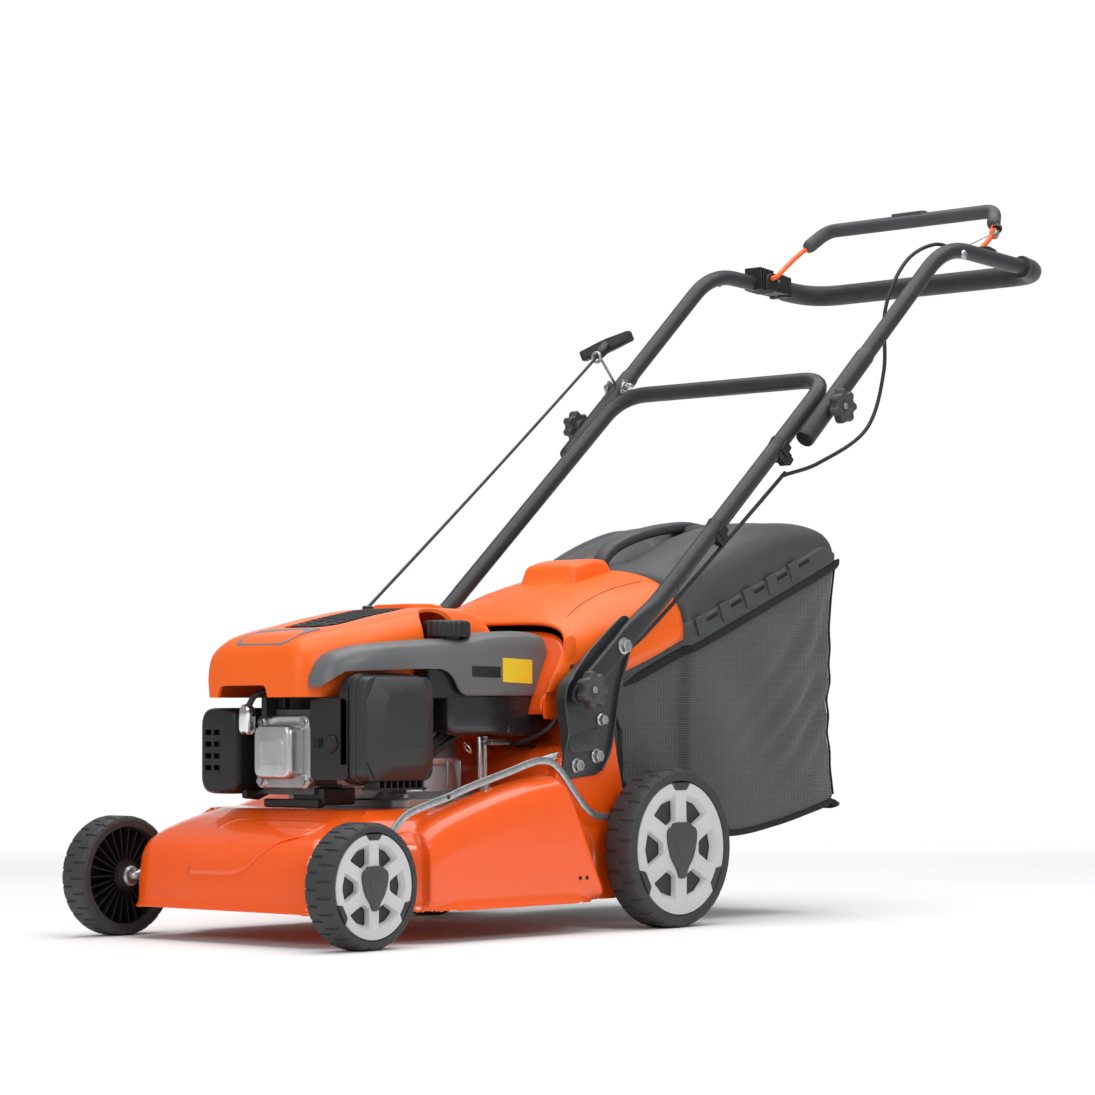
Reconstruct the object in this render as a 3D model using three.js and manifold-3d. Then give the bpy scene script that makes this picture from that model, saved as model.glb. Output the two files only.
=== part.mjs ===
// Walk-behind petrol lawn mower with a folding handle and a rear grass bag.
// Millimetres, +Z up, ground at z = 0. The front is -Y and the operator's left is +X.
// Shapes are laid out about the point on the ground midway between the axles,
// and the whole group is then moved so that the origin is under the middle of its length.

import * as THREE from 'three';
import { mergeVertices } from 'three/addons/utils/BufferGeometryUtils.js';
import Module from 'manifold-3d';

const wasm = await Module();
wasm.setup();

// ---------------------------------------------------------------- driving dimensions

const GAP = 0.3;

const WHEELS = {
  front: { radius: 71, width: 41, trim: 59 },
  rear: { radius: 97, width: 43, trim: 81 },
};
const AXLE_Y = 263;
const TRACK_X = 229;
const STUB_R = 5.5;
const CRANK = { x: 175, y: 41.7, z: 16.9 };
const LINK_ARM = { y: 22, z: 30 };
const LINK_X = 182.2;

const DECK = { low: 36, top: 152, sheet: 3, frontY: -287, midX: 205, waistX: 167 };
const CHUTE = { halfX: 168, rearY: 236, top: 262 };
const HINGE = { y: 146, z: 318 };
const BLADE = { length: 390, width: 50, z: 60 };

const HEAD_FRONT_Y = -181;
const COVER_LOW = 282;
const FLYWHEEL_R = 72;
const CAP = { x: 94, y: -10, z: 354, r: 29 };
const BRAKE_PIVOT = { x: 88, y: 62 };

const TUBE_R = 11;
const LEG_X = 182;
const ARM_X = 207;
const LEG_PIVOT = { y: 205, z: 344 };
const LEG_KNOB = { y: 133, z: 290 };
const MID_KNOB = { y: 587, z: 660 };
const CROSSBAR = { y: 624, z: 702 };
const BAR = { y: 1090, z: 884 };
const BAIL_PIVOT = { y: 965, z: 900 };
const BAIL_TOP = { y: 1054, z: 975 };
const GRIP_R = 15;

const BAG_X = 172;
const MID_LENGTH_Y = (BAR.y + GRIP_R - AXLE_Y - WHEELS.front.radius) / 2;

// ---------------------------------------------------------------- materials

const paint = (color, roughness, metalness = 0) =>
  new THREE.MeshStandardMaterial({ color, roughness, metalness });
const ORANGE_ENAMEL = paint(0xf4520f, 0.22);
const ORANGE_PLASTIC = paint(0xff6a28, 0.42);
const DARK_PLASTIC = paint(0x4b4c4d, 0.6);
const BLACK_PLASTIC = paint(0x222324, 0.5);
const TYRE = paint(0x3f4041, 0.75);
const TRIM = paint(0xcfd0d1, 0.45);
const SHROUD = paint(0x6c6d6e, 0.5);
const TUBE_PAINT = paint(0x4d4e4f, 0.45);
const BLACK_STEEL = paint(0x3a3b3c, 0.4, 0.3);
const ZINC = paint(0x9aa1a3, 0.35, 0.9);
const ALUMINIUM = paint(0xb7b9bb, 0.4, 0.9);
const CHROME = paint(0xd8d8d8, 0.15, 1);
const CAST_IRON = paint(0x6a6c6e, 0.6, 0.8);
const GRIP_RUBBER = paint(0x202122, 0.85);
const BAIL_ORANGE = paint(0xff6422, 0.4);
const CORD = paint(0x1c1c1d, 0.8);
const BAG_CLOTH = paint(0x505152, 0.9);

// ---------------------------------------------------------------- solids

/** A closed geometry as a solid that can be joined and cut. */
function solid(geometry) {
  const bare = geometry.clone();
  bare.deleteAttribute('normal');
  bare.deleteAttribute('uv');
  const merged = mergeVertices(bare, 1e-3);
  const corners = merged.index.array;
  const triVerts = [];
  for (let i = 0; i < corners.length; i += 3) {
    const [a, b, c] = corners.slice(i, i + 3);
    if (a !== b && b !== c && c !== a) triVerts.push(a, b, c);
  }
  return new wasm.Manifold(new wasm.Mesh({
    numProp: 3,
    vertProperties: new Float32Array(merged.attributes.position.array),
    triVerts: new Uint32Array(triVerts),
  }));
}

/** The solid's surface, with slivers left by cutting collapsed. */
function geometryOf(body) {
  const { vertProperties, triVerts } = body.simplify(0.02).getMesh();
  const geometry = new THREE.BufferGeometry();
  geometry.setAttribute('position', new THREE.BufferAttribute(vertProperties, 3));
  geometry.setIndex(new THREE.BufferAttribute(triVerts, 1));
  geometry.computeVertexNormals();
  return geometry;
}

const join = (...bodies) => bodies.reduce((all, body) => all.add(body));
const cut = (body, ...tools) => tools.reduce((rest, tool) => rest.subtract(tool), body);

function block(x0, x1, y0, y1, z0, z1) {
  const box = new THREE.BoxGeometry(x1 - x0, y1 - y0, z1 - z0);
  return solid(box.translate((x0 + x1) / 2, (y0 + y1) / 2, (z0 + z1) / 2));
}

const along = {
  x: (geometry) => geometry.rotateZ(-Math.PI / 2),
  y: (geometry) => geometry,
  z: (geometry) => geometry.rotateX(Math.PI / 2),
};

/** A round bar along an axis between two values of that axis. */
function rod(axis, radius, from, to, centre, sides = 16, endRadius = radius) {
  const bar = new THREE.CylinderGeometry(endRadius, radius, to - from, sides);
  const middle = { ...centre, [axis]: (from + to) / 2 };
  return solid(along[axis](bar).translate(middle.x ?? 0, middle.y ?? 0, middle.z ?? 0));
}

/** A solid of revolution about the X axis from [radius, x] corners. */
function turnedX(profile, segments) {
  const points = [...profile, profile[0]].map(([r, x]) => new THREE.Vector2(r, x));
  return solid(new THREE.LatheGeometry(points, segments).rotateZ(-Math.PI / 2));
}

function shapeOf(outline, holes = []) {
  const shape = new THREE.Shape(outline.map(([a, b]) => new THREE.Vector2(a, b)));
  shape.holes = holes.map((hole) => new THREE.Path(hole.map(([a, b]) => new THREE.Vector2(a, b))));
  return shape;
}

/** An outline of [y, z] corners given thickness along X, from x0 to x1. */
function sidePlate(outline, x0, x1, holes) {
  const plate = new THREE.ExtrudeGeometry(shapeOf(outline, holes), {
    depth: x1 - x0,
    bevelEnabled: false,
  });
  const toSide = new THREE.Matrix4().makeBasis(vec(0, 1, 0), vec(0, 0, 1), vec(1, 0, 0));
  return solid(plate.applyMatrix4(toSide).translate(x0, 0, 0));
}

/** An outline of [x, z] corners given thickness along Y, from y0 to y1. */
function frontPlate(outline, y0, y1, holes) {
  const plate = new THREE.ExtrudeGeometry(shapeOf(outline, holes), {
    depth: y1 - y0,
    bevelEnabled: false,
  });
  return solid(plate.rotateX(Math.PI / 2).translate(0, y1, 0));
}

/** An outline of [x, y] corners given thickness along Z, from z0 to z1. */
function planPlate(outline, z0, z1, holes) {
  const plate = new THREE.ExtrudeGeometry(shapeOf(outline, holes), {
    depth: z1 - z0,
    bevelEnabled: false,
  });
  return solid(plate.translate(0, 0, z0));
}

function vec(x, y, z) {
  return new THREE.Vector3(x, y, z);
}

/** An outline with each corner replaced by a short curve that starts `radius` away from it. */
function rounded(corners, radius, steps = 4) {
  const out = [];
  corners.forEach(([x, y], i) => {
    const here = new THREE.Vector2(x, y);
    const reach = (other) => {
      const to = new THREE.Vector2(...other).sub(here);
      return here.clone().add(to.setLength(Math.min(radius, to.length() / 2.2)));
    };
    const before = reach(corners.at(i - 1));
    const after = reach(corners[(i + 1) % corners.length]);
    const bend = new THREE.QuadraticBezierCurve(before, here, after);
    bend.getPoints(steps).forEach((p) => out.push([p.x, p.y]));
  });
  return out;
}

/**
 * A closed skin through rings that all have the same number of points. The ends are closed
 * by a fan, or for a ring that runs out along a sheet and back under it, by a strip.
 */
function loft(rings, endStrip = false) {
  const count = rings[0].length;
  const points = rings.flat();
  const faces = [];
  for (let r = 0; r + 1 < rings.length; r += 1) {
    for (let i = 0; i < count; i += 1) {
      const a = r * count + i;
      const b = r * count + ((i + 1) % count);
      faces.push(a, b, b + count, a, b + count, a + count);
    }
  }
  for (const [r, flip] of [[0, true], [rings.length - 1, false]]) {
    const close = (...corners) => faces.push(...(flip ? corners.reverse() : corners));
    const first = r * count;
    if (endStrip) {
      for (let i = 0; i + 1 < count / 2; i += 1) {
        const [a, b, c, d] = [i, i + 1, count - 2 - i, count - 1 - i].map((k) => first + k);
        close(a, b, c);
        close(a, c, d);
      }
    } else {
      points.push(rings[r].reduce((sum, p) => sum.add(p), vec(0, 0, 0)).divideScalar(count));
      for (let i = 0; i < count; i += 1) {
        close(first + i, first + ((i + 1) % count), points.length - 1);
      }
    }
  }
  let volume = 0;
  for (let i = 0; i < faces.length; i += 3) {
    const [a, b, c] = faces.slice(i, i + 3).map((k) => points[k]);
    volume += a.dot(b.clone().cross(c));
  }
  if (volume < 0) faces.reverse();
  const geometry = new THREE.BufferGeometry().setFromPoints(points);
  geometry.setIndex(faces);
  return solid(geometry);
}

/** Straight runs joined by bends, as one path through corner points. */
function bentPath(corners, bend) {
  const path = new THREE.CurvePath();
  const reach = (from, to) => {
    const run = to.clone().sub(from);
    return from.clone().add(run.setLength(Math.min(bend, run.length() / 2.001)));
  };
  let start = corners[0];
  for (let i = 1; i + 1 < corners.length; i += 1) {
    const before = reach(corners[i], corners[i - 1]);
    const after = reach(corners[i], corners[i + 1]);
    path.add(new THREE.LineCurve3(start, before));
    path.add(new THREE.QuadraticBezierCurve3(before, corners[i], after));
    start = after;
  }
  path.add(new THREE.LineCurve3(start, corners.at(-1)));
  return path;
}

function ring(radius, sides) {
  const corner = (i) => (2 * Math.PI * i) / sides;
  return Array.from({ length: sides }, (_, i) => [
    radius * Math.cos(corner(i)),
    radius * Math.sin(corner(i)),
  ]);
}

/** A round bar that follows a path. */
function sweep(path, radius, steps, sides = 10) {
  return solid(new THREE.ExtrudeGeometry(shapeOf(ring(radius, sides)), {
    steps,
    extrudePath: path,
    bevelEnabled: false,
  }));
}

/** Straight round bars between points, with a ball at each corner. */
function bars(points, radius, sides = 8) {
  const up = vec(0, 1, 0);
  const pieces = [];
  for (let i = 0; i + 1 < points.length; i += 1) {
    const run = points[i + 1].clone().sub(points[i]);
    const bar = new THREE.CylinderGeometry(radius, radius, run.length(), sides);
    const turn = new THREE.Quaternion().setFromUnitVectors(up, run.clone().normalize());
    const middle = points[i].clone().addScaledVector(run, 0.5);
    pieces.push(solid(bar.applyQuaternion(turn).translate(middle.x, middle.y, middle.z)));
    if (i > 0) {
      const ball = new THREE.SphereGeometry(radius, sides, 4);
      pieces.push(solid(ball.translate(points[i].x, points[i].y, points[i].z)));
    }
  }
  return join(...pieces);
}

/** The same solid on the other side of the mower. */
const mirrored = (body) => body.mirror([1, 0, 0]);

// ---------------------------------------------------------------- the assembly

const mower = new THREE.Group();
mower.position.y = -MID_LENGTH_Y;

function add(name, body, material) {
  const piece = new THREE.Mesh(geometryOf(body), material);
  piece.name = name;
  mower.add(piece);
}

// ---------------------------------------------------------------- wheels

/** One moulded wheel, its light trim disc and its hub cap. side is +1 on the left. */
function addWheel(end, side) {
  const { radius, width, trim } = WHEELS[end];
  const y = end === 'front' ? -AXLE_Y : AXLE_Y;
  const inner = TRACK_X - width;
  const face = TRACK_X;
  const seat = face - 9;
  const place = (body) => {
    const right = side > 0 ? body : mirrored(body);
    return right.translate([0, y, radius]);
  };
  const tyre = turnedX([
    [STUB_R + 0.5, inner + 2],
    [14, inner + 2],
    [14, seat - 3],
    [radius - 15, seat - 3],
    [radius - 13, inner],
    [radius - 4, inner],
    [radius, inner + 5],
    [radius, face - 6],
    [radius - 3.5, face],
    [trim + 1.3, face],
    [trim + 1.3, seat],
    [STUB_R + 0.5, seat],
  ], 26);
  const spread = (2 * Math.PI) / 6;
  const windows = Array.from({ length: 6 }, (_, i) => {
    const middle = spread * (i + 0.5) + Math.PI / 2;
    const corner = (r, turn) => [r * Math.cos(middle + turn), r * Math.sin(middle + turn)];
    return [
      corner(trim * 0.84, -0.33),
      corner(trim * 0.84, 0.33),
      corner(trim * 0.5, 0.2),
      corner(trim * 0.5, -0.2),
    ];
  });
  const disc = sidePlate(ring(trim, 32), seat + GAP, face - 1, [...windows, ring(STUB_R + 2, 10)]);
  const s = trim / 59;
  const half = [[6, -30], [8, -18], [17, -8], [20, 10], [14, 20]].map(([a, b]) => [a * s, b * s]);
  const capOutline = [...half, [0, 23 * s], ...half.map(([a, b]) => [-a, b]).reverse()];
  const cap = sidePlate(capOutline, face - 1 + GAP, face + 4);
  const label = `${end}_${side > 0 ? 'left' : 'right'}`;
  add(`${label}_wheel`, place(tyre), TYRE);
  add(`${label}_trim`, place(disc), TRIM);
  add(`${label}_cap`, place(cap), DARK_PLASTIC);
}

for (const end of ['front', 'rear']) {
  for (const side of [1, -1]) addWheel(end, side);
}

// ---------------------------------------------------------------- deck

/** The plan outline of the pressed housing at one height. */
function housingRing(z, front, mid, waist, rear) {
  const half = [
    [waist - 16, front],
    [waist, front + 38],
    [waist, -198],
    [mid, -128],
    [mid, 118],
    [waist, 168],
    [waist, rear],
  ];
  const outline = [...half, ...half.map(([x, y]) => [-x, y]).reverse()];
  return rounded(outline.reverse(), 22, 2).map(([x, y]) => vec(x, y, z));
}

/** The blade housing, drawn in by `sheet` for its inside. */
function housing(sheet) {
  const { low, top, frontY, midX, waistX } = DECK;
  const levels = [
    [low, -4, 4],
    [low + 4, -4, 4],
    [low + 5, 0, 0],
    [95, 3, -1],
    [112, 10, -4],
    [124, 28, -14],
    [134, 50, -28],
    [144, 76, -44],
    [top, 102, -62],
  ];
  const rings = levels.map(([z, inFront, out]) => housingRing(
    z === low && sheet > 0 ? low - 6 : z - (z > 90 ? sheet : 0),
    frontY + inFront + sheet,
    midX + out - sheet,
    waistX + Math.min(out, 2) * 0.6 - sheet,
    232 - inFront * 0.2 - sheet,
  ));
  return loft(sheet > 0 ? rings.filter((_, i) => i !== 1) : rings);
}

/** The raised side of the clippings channel, climbing from the front to the rear. */
function volute(sheet) {
  const section = (y, top, lean) => {
    const outer = DECK.midX - sheet;
    const inner = 112 + sheet;
    const low = sheet > 0 ? DECK.low - 6 : DECK.low + 6;
    const crown = [
      [inner, low],
      [outer, low],
      [outer, top - 34],
      [outer - 6, top - 12],
      [outer - 20, top - 1],
      [outer - 44, top],
      [inner, top - 16],
    ];
    return crown.map(([x, z]) => vec(x, y + (top - z) * lean, z - (z > low ? sheet : 0)));
  };
  return loft([
    section(-150 + sheet, 128, 0),
    section(-128 + sheet, 140, 0),
    section(-60, 162, 0),
    section(0, 177, 0.15),
    section(50, 186, 0.3),
    section(78 - sheet, 188, 0.5),
  ]);
}

function chute(sheet) {
  const { halfX, rearY, top } = CHUTE;
  const open = sheet > 0 ? 30 : 0;
  const wall = [[76, 118], [96, 150], [108, 200], [124, 222], [162, 231], [168, top]];
  const profile = [
    ...wall.map(([y, z]) => [y + sheet, z - sheet]),
    [rearY + open, top - sheet],
    [rearY + open, 62 + sheet],
    [76 + sheet, 62 + sheet],
  ];
  return sidePlate(profile, sheet - halfX, halfX - sheet);
}

/** The two ears behind the chute that hold the rear axle. */
function axleEars() {
  const ear = [[200, 62], [312, 96], [322, 106], [322, 122], [312, 132], [200, 150]];
  const { halfX } = CHUTE;
  return join(
    sidePlate(ear, halfX - DECK.sheet, halfX),
    sidePlate(ear, -halfX, DECK.sheet - halfX),
  );
}

const PIVOT = {
  front: { y: -AXLE_Y + CRANK.y, z: WHEELS.front.radius + CRANK.z },
  rear: { y: AXLE_Y + CRANK.y, z: WHEELS.rear.radius + CRANK.z },
};

/** The raised shield-shaped pressing on the sloping front. */
function frontPanel() {
  const panel = [[-62, 130], [62, 130], [52, 96], [18, 72], [-18, 72], [-52, 96]];
  return frontPlate(panel, DECK.frontY - 1, DECK.frontY + 60);
}

function addDeck() {
  const outside = join(housing(0), volute(0), mirrored(volute(0)), chute(0), axleEars(), frontPanel());
  const inside = join(
    housing(DECK.sheet),
    volute(DECK.sheet),
    mirrored(volute(DECK.sheet)),
    chute(DECK.sheet),
  );
  const holes = [
    rod('z', 26, 100, 200, {}),
    rod('x', STUB_R + 1, -190, 190, PIVOT.front),
    rod('x', STUB_R + 1, -190, 190, PIVOT.rear),
  ];
  add('deck', cut(outside, inside, ...holes), ORANGE_ENAMEL);
}

// ---------------------------------------------------------------- axles and height link

/** A cranked axle: its bar turns in the deck and its offset stubs carry the wheels. */
function axle(end) {
  const pivot = PIVOT[end];
  const tip = TRACK_X - 11;
  const stub = { y: pivot.y - CRANK.y, z: pivot.z - CRANK.z };
  const shaft = bars([
    vec(-tip, stub.y, stub.z),
    vec(-CRANK.x, stub.y, stub.z),
    vec(-CRANK.x, pivot.y, pivot.z),
    vec(CRANK.x, pivot.y, pivot.z),
    vec(CRANK.x, stub.y, stub.z),
    vec(tip, stub.y, stub.z),
  ], STUB_R);
  const arm = sidePlate(armOutline(pivot, LINK_ARM.y, LINK_ARM.z, 7), CRANK.x + 1, LINK_X - 1.2);
  const pin = rod('x', 3, CRANK.x + 2, LINK_X + 4.5, {
    y: pivot.y + LINK_ARM.y,
    z: pivot.z + LINK_ARM.z,
  }, 10);
  return join(shaft, arm, pin);
}

/** A flat arm with round ends, from a pivot towards a point (dy, dz) away. */
function armOutline(pivot, dy, dz, halfWidth) {
  const angle = Math.atan2(dz, dy);
  const end = (cy, cz, from) => Array.from({ length: 5 }, (_, i) => {
    const turn = angle + from + (Math.PI * i) / 4;
    return [cy + halfWidth * Math.cos(turn), cz + halfWidth * Math.sin(turn)];
  });
  return [
    ...end(pivot.y + dy, pivot.z + dz, -Math.PI / 2),
    ...end(pivot.y, pivot.z, Math.PI / 2),
  ];
}

/** A strip of even width along a line of [y, z] points. */
function strip(points, halfWidth) {
  const normal = (i) => {
    const [y0, z0] = points[Math.max(i - 1, 0)];
    const [y1, z1] = points[Math.min(i + 1, points.length - 1)];
    const length = Math.hypot(y1 - y0, z1 - z0);
    return [(z0 - z1) / length, (y1 - y0) / length];
  };
  const edge = (side) => points.map(([y, z], i) => {
    const [ny, nz] = normal(i);
    return [y + side * halfWidth * ny, z + side * halfWidth * nz];
  });
  return [...edge(-1), ...edge(1).reverse()];
}

function addHeightLink() {
  const front = [PIVOT.front.y + LINK_ARM.y, PIVOT.front.z + LINK_ARM.z];
  const rear = [PIVOT.rear.y + LINK_ARM.y, PIVOT.rear.z + LINK_ARM.z];
  const route = [
    [front[0] - 7, front[1] - 4],
    front,
    [-178, 141],
    [-150, 153],
    [-60, 178],
    [30, 200],
    [56, 206],
    [78, 205],
    [98, 192],
    [134, 150],
    [158, 136],
    [230, 136],
    rear,
    [rear[0] + 8, rear[1] + 1],
  ];
  const bar = sidePlate(strip(route, 6.5), LINK_X, LINK_X + 3);
  const hole = ([y, z], clear) => rod('x', 3 + clear, LINK_X - 2, LINK_X + 6, { y, z }, 12);
  add('height_link', cut(bar, hole(front, 0.4), hole(rear, 1.2)), ZINC);
}

function addAxles() {
  add('front_axle', axle('front'), ZINC);
  const { y, z } = PIVOT.rear;
  const lever = sidePlate(armOutline({ y, z }, -34, 118, 9), -CRANK.x - 4.5, -CRANK.x - 1);
  const gripOutline = armOutline({ y: y - 27, z: z + 94 }, -10, 34, 12);
  const handgrip = sidePlate(gripOutline, -CRANK.x - 10, -CRANK.x - 1.5);
  add('rear_axle', join(axle('rear'), lever, handgrip), ZINC);
  addHeightLink();
}

// ---------------------------------------------------------------- handle brackets

/** The pressed side bracket of one side, with the handle's pivot stud. */
function bracket() {
  const outline = [
    [112, 182],
    [178, 188],
    [196, 215],
    [214, 300],
    [232, 334],
    [244, 372],
    [226, 385],
    [206, 372],
    [104, 296],
    [101, 276],
    [112, 225],
  ];
  const inner = CHUTE.halfX + GAP;
  const plate = sidePlate(rounded(outline, 7, 2), inner, inner + 2.4);
  const lip = sidePlate(strip([[110, 232], [103, 276], [107, 297], [160, 336]], 1.8), inner, inner + 16);
  const stud = rod('x', 5, inner, LEG_X + 6, LEG_PIVOT, 14);
  const hingePin = rod('x', 4, 148, inner + 1, HINGE, 12);
  return join(plate, lip, stud, hingePin);
}

function addBrackets() {
  add('bracket_left', bracket(), BLACK_STEEL);
  add('bracket_right', mirrored(bracket()), BLACK_STEEL);
}

// ---------------------------------------------------------------- rear flap

/**
 * A ring round a domed sheet at y: `edge` is its height at the sides and `crown` in the middle.
 * A higher power makes it squarer, and `back` moves the middle rearwards.
 */
function archRing({ y, half, edge, crown, thick, power = 2.6, back = 0 }) {
  const steps = 10;
  const bulge = (value) => Math.abs(value) ** (2 / power);
  const dome = (k, drop) => {
    const turn = (Math.PI * k) / steps;
    const rise = k === 0 || k === steps ? 0 : bulge(Math.sin(turn));
    const reach = Math.sign(Math.cos(turn)) * bulge(Math.cos(turn));
    return vec(reach * (half - drop), y + back * rise, edge + (crown - edge) * rise - (rise ? drop : 0));
  };
  const outer = Array.from({ length: steps + 1 }, (_, k) => dome(k, 0));
  const under = Array.from({ length: steps + 1 }, (_, k) => dome(steps - k, thick));
  return [...outer, ...under];
}

function addFlap() {
  const thick = 3.5;
  const stations = [
    { y: 103, half: 150, edge: 287, crown: 374, power: 5, back: 57 },
    { y: 124, half: 155, edge: 290, crown: 383, power: 4, back: 48 },
    { y: 165, half: 156, edge: 298, crown: 396, power: 3.4, back: 28 },
    { y: 218, half: 158, edge: 308, crown: 413, power: 3, back: 12 },
    { y: 285, half: 161, edge: 330, crown: 432, power: 2.8 },
    { y: 345, half: 164, edge: 355, crown: 446, power: 2.6 },
  ];
  const shell = loft(stations.map((station) => archRing({ ...station, thick })), true);
  const box = sidePlate([[262, 418], [276, 441], [338, 458], [345, 444]], -44, 44);
  const ear = (x) => sidePlate(armOutline(HINGE, 0, 30, 9), x, x + 4);
  const pin = rod('x', 4.5, -180, 180, HINGE, 12);
  add('rear_flap', cut(join(shell, box, ear(150), ear(-154)), pin), ORANGE_PLASTIC);
}

// ---------------------------------------------------------------- engine

/** The engine cover's cross-section at y: right and left half-widths and the crown's height. */
function coverRing(y, right, left, crown, sheet, low) {
  const inner = right - sheet;
  const outer = left - sheet;
  const top = crown - sheet;
  const edge = crown > 352 ? 20 : 12;
  return [
    [inner + 3, low],
    [outer - 3, low],
    [outer, top - 34],
    [outer - 4, top - edge],
    [outer - 14, top - 5],
    [outer - 30, top],
    [inner + 34, top],
    [inner + 16, top - 5],
    [inner + 5, top - edge],
    [inner, top - 34],
  ].map(([x, z]) => vec(x, y, z));
}

/** The orange cover's outer or inner form: narrow in front, crowned over the starter. */
function coverForm(sheet) {
  const low = COVER_LOW - (sheet > 0 ? 8 : 0);
  const section = (y, right, left, crown) => coverRing(y, right + 2 * sheet, left, crown, sheet, low);
  return loft([
    section(-215 + sheet, -100, 50, 328),
    section(-209 + sheet, -108, 58, 342),
    section(-186, -114, 70, 354),
    section(-120, -120, 90, 367),
    section(0, -120, 84, 390),
    section(62, -118, 70, 391),
    section(106 - sheet, -108, 60, 380),
    section(128 - sheet, -92, 46, 362),
  ]);
}

const GRILLE = { x0: -52, x1: 34, y0: -150, y1: -4 };
const GRILLE_SLOPE = Math.atan2(23, 120);
const grilleZ = (y) => 390 + (y * 23) / 120;

/** A plan rectangle with round corners, lying in the cover's sloping top. */
function onSlope(outline, low, high) {
  const middleY = (GRILLE.y0 + GRILLE.y1) / 2;
  const level = outline.map(([x, y]) => [x, (y - middleY) / Math.cos(GRILLE_SLOPE)]);
  const flat = planPlate(level, low, high);
  const tilted = flat.rotate([THREE.MathUtils.radToDeg(GRILLE_SLOPE), 0, 0]);
  return tilted.translate([0, middleY, grilleZ(middleY)]);
}

const grilleOutline = (margin) => rounded([
  [GRILLE.x0 - margin, GRILLE.y0 - margin],
  [GRILLE.x1 + margin, GRILLE.y0 - margin],
  [GRILLE.x1 + margin, GRILLE.y1 + margin],
  [GRILLE.x0 - margin, GRILLE.y1 + margin],
], 26, 3);

function addTopCover() {
  const opening = onSlope(grilleOutline(GAP), -15, 15);
  const notch = frontPlate([[-88, 270], [-76, 296], [-4, 296], [6, 270]], -230, -196);
  const capRecess = (wall) => rod('z', CAP.r + 3 + wall, 349.5 - wall, 420, CAP, 24);
  const filler = rod('z', 18, 300, 400, CAP, 24);
  const outside = cut(coverForm(0), capRecess(0));
  const inside = cut(coverForm(3), capRecess(3));
  add('top_cover', cut(outside, inside, opening, notch, filler), ORANGE_PLASTIC);
  const slots = Array.from({ length: 6 }, (_, i) => {
    const y = GRILLE.y0 + 26 + i * 19;
    return block(GRILLE.x0 + 10, GRILLE.x1 - 10, y, y + 9, 340, 400);
  });
  const plate = onSlope(grilleOutline(-GAP), -4.5, -1.5);
  add('intake_grille', cut(plate, ...slots), BLACK_PLASTIC);
}

/** The grey shroud along the left side and behind the cover, arched over the air filter. */
function shroudForm(sheet) {
  const low = COVER_LOW - (sheet > 0 ? 8 : 0);
  const section = (y, out, top) => [
    [-20, low],
    [out - sheet, low],
    [out - sheet, top - 16 - sheet],
    [out - 5 - sheet, top - 5 - sheet],
    [out - 16 - sheet, top - sheet],
    [-20, top - sheet],
  ].map(([x, z]) => vec(x, y, z));
  return loft([
    section(-205 + sheet, 80, 304),
    section(-192 + sheet, 96, 330),
    section(-150, 116, 342),
    section(-60, 122, 349),
    section(0, 122, 350),
    section(100, 121, 348),
    section(140 - sheet, 116, 342),
    section(147 - sheet, 108, 334),
  ]);
}

function addShroud() {
  const arch = sidePlate([
    [-210, 270], [-202, 300], [-186, 312], [-44, 315], [-18, 304], [-4, 270],
  ], 40, 140);
  const cover = coverForm(-GAP);
  const filler = rod('z', 20, 300, 400, CAP, 24);
  const rightSide = block(-200, 20, -230, 100, 250, 400);
  const shell = cut(shroudForm(0), shroudForm(3), cover, arch, filler, rightSide);
  add('side_shroud', shell, SHROUD);
}

function addFuelSystem() {
  const plan = rounded([[84, -30], [117, -30], [117, 126], [46, 136], [46, 98], [84, 70]], 8, 2);
  const tank = planPlate(plan, 238, COVER_LOW - 1);
  const lobe = planPlate(rounded([[60, 70], [118, 70], [118, 152], [96, 158], [60, 140]], 14, 3), 236, 268);
  const upper = planPlate(rounded([[88, -32], [114, -32], [114, 98], [88, 98]], 6, 2), 270, 329);
  const neck = rod('z', 17, 320, CAP.z + 6, CAP, 20);
  add('fuel_tank', join(tank, lobe, upper, neck), BLACK_PLASTIC);
  const crown = rod('z', CAP.r, CAP.z - 2, CAP.z + 14, CAP, 24);
  const top = rod('z', CAP.r, CAP.z + 14, CAP.z + 19, CAP, 24, CAP.r - 5);
  const bore = rod('z', 18, CAP.z - 5, CAP.z + 10, CAP, 20);
  add('fuel_cap', cut(join(crown, top), bore), BLACK_PLASTIC);
}

/** The aluminium block: mounting flange, crankcase and the barrel towards the head. */
function addCrankcase() {
  const flange = planPlate(rounded([
    [-92, -84], [92, -84], [96, 60], [60, 92], [-60, 92], [-96, 60],
  ], 26, 3), DECK.top + GAP, DECK.top + 11);
  const body = rod('z', 78, DECK.top + 10, 236, { x: 0, y: 0 }, 32, 70);
  const neck = rod('z', 70, 236, 292, { x: 0, y: 0 }, 32, 34);
  const barrel = block(-38, 38, HEAD_FRONT_Y + 40 + GAP, -40, 178, 262);
  const bore = rod('z', 12, 100, 320, { x: 0, y: 0 }, 20);
  const brakeBoss = rod('z', 7, DECK.top + 8, 181.5, BRAKE_PIVOT, 12);
  add('crankcase', cut(join(flange, body, neck, barrel, brakeBoss), bore), ALUMINIUM);
}

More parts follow.
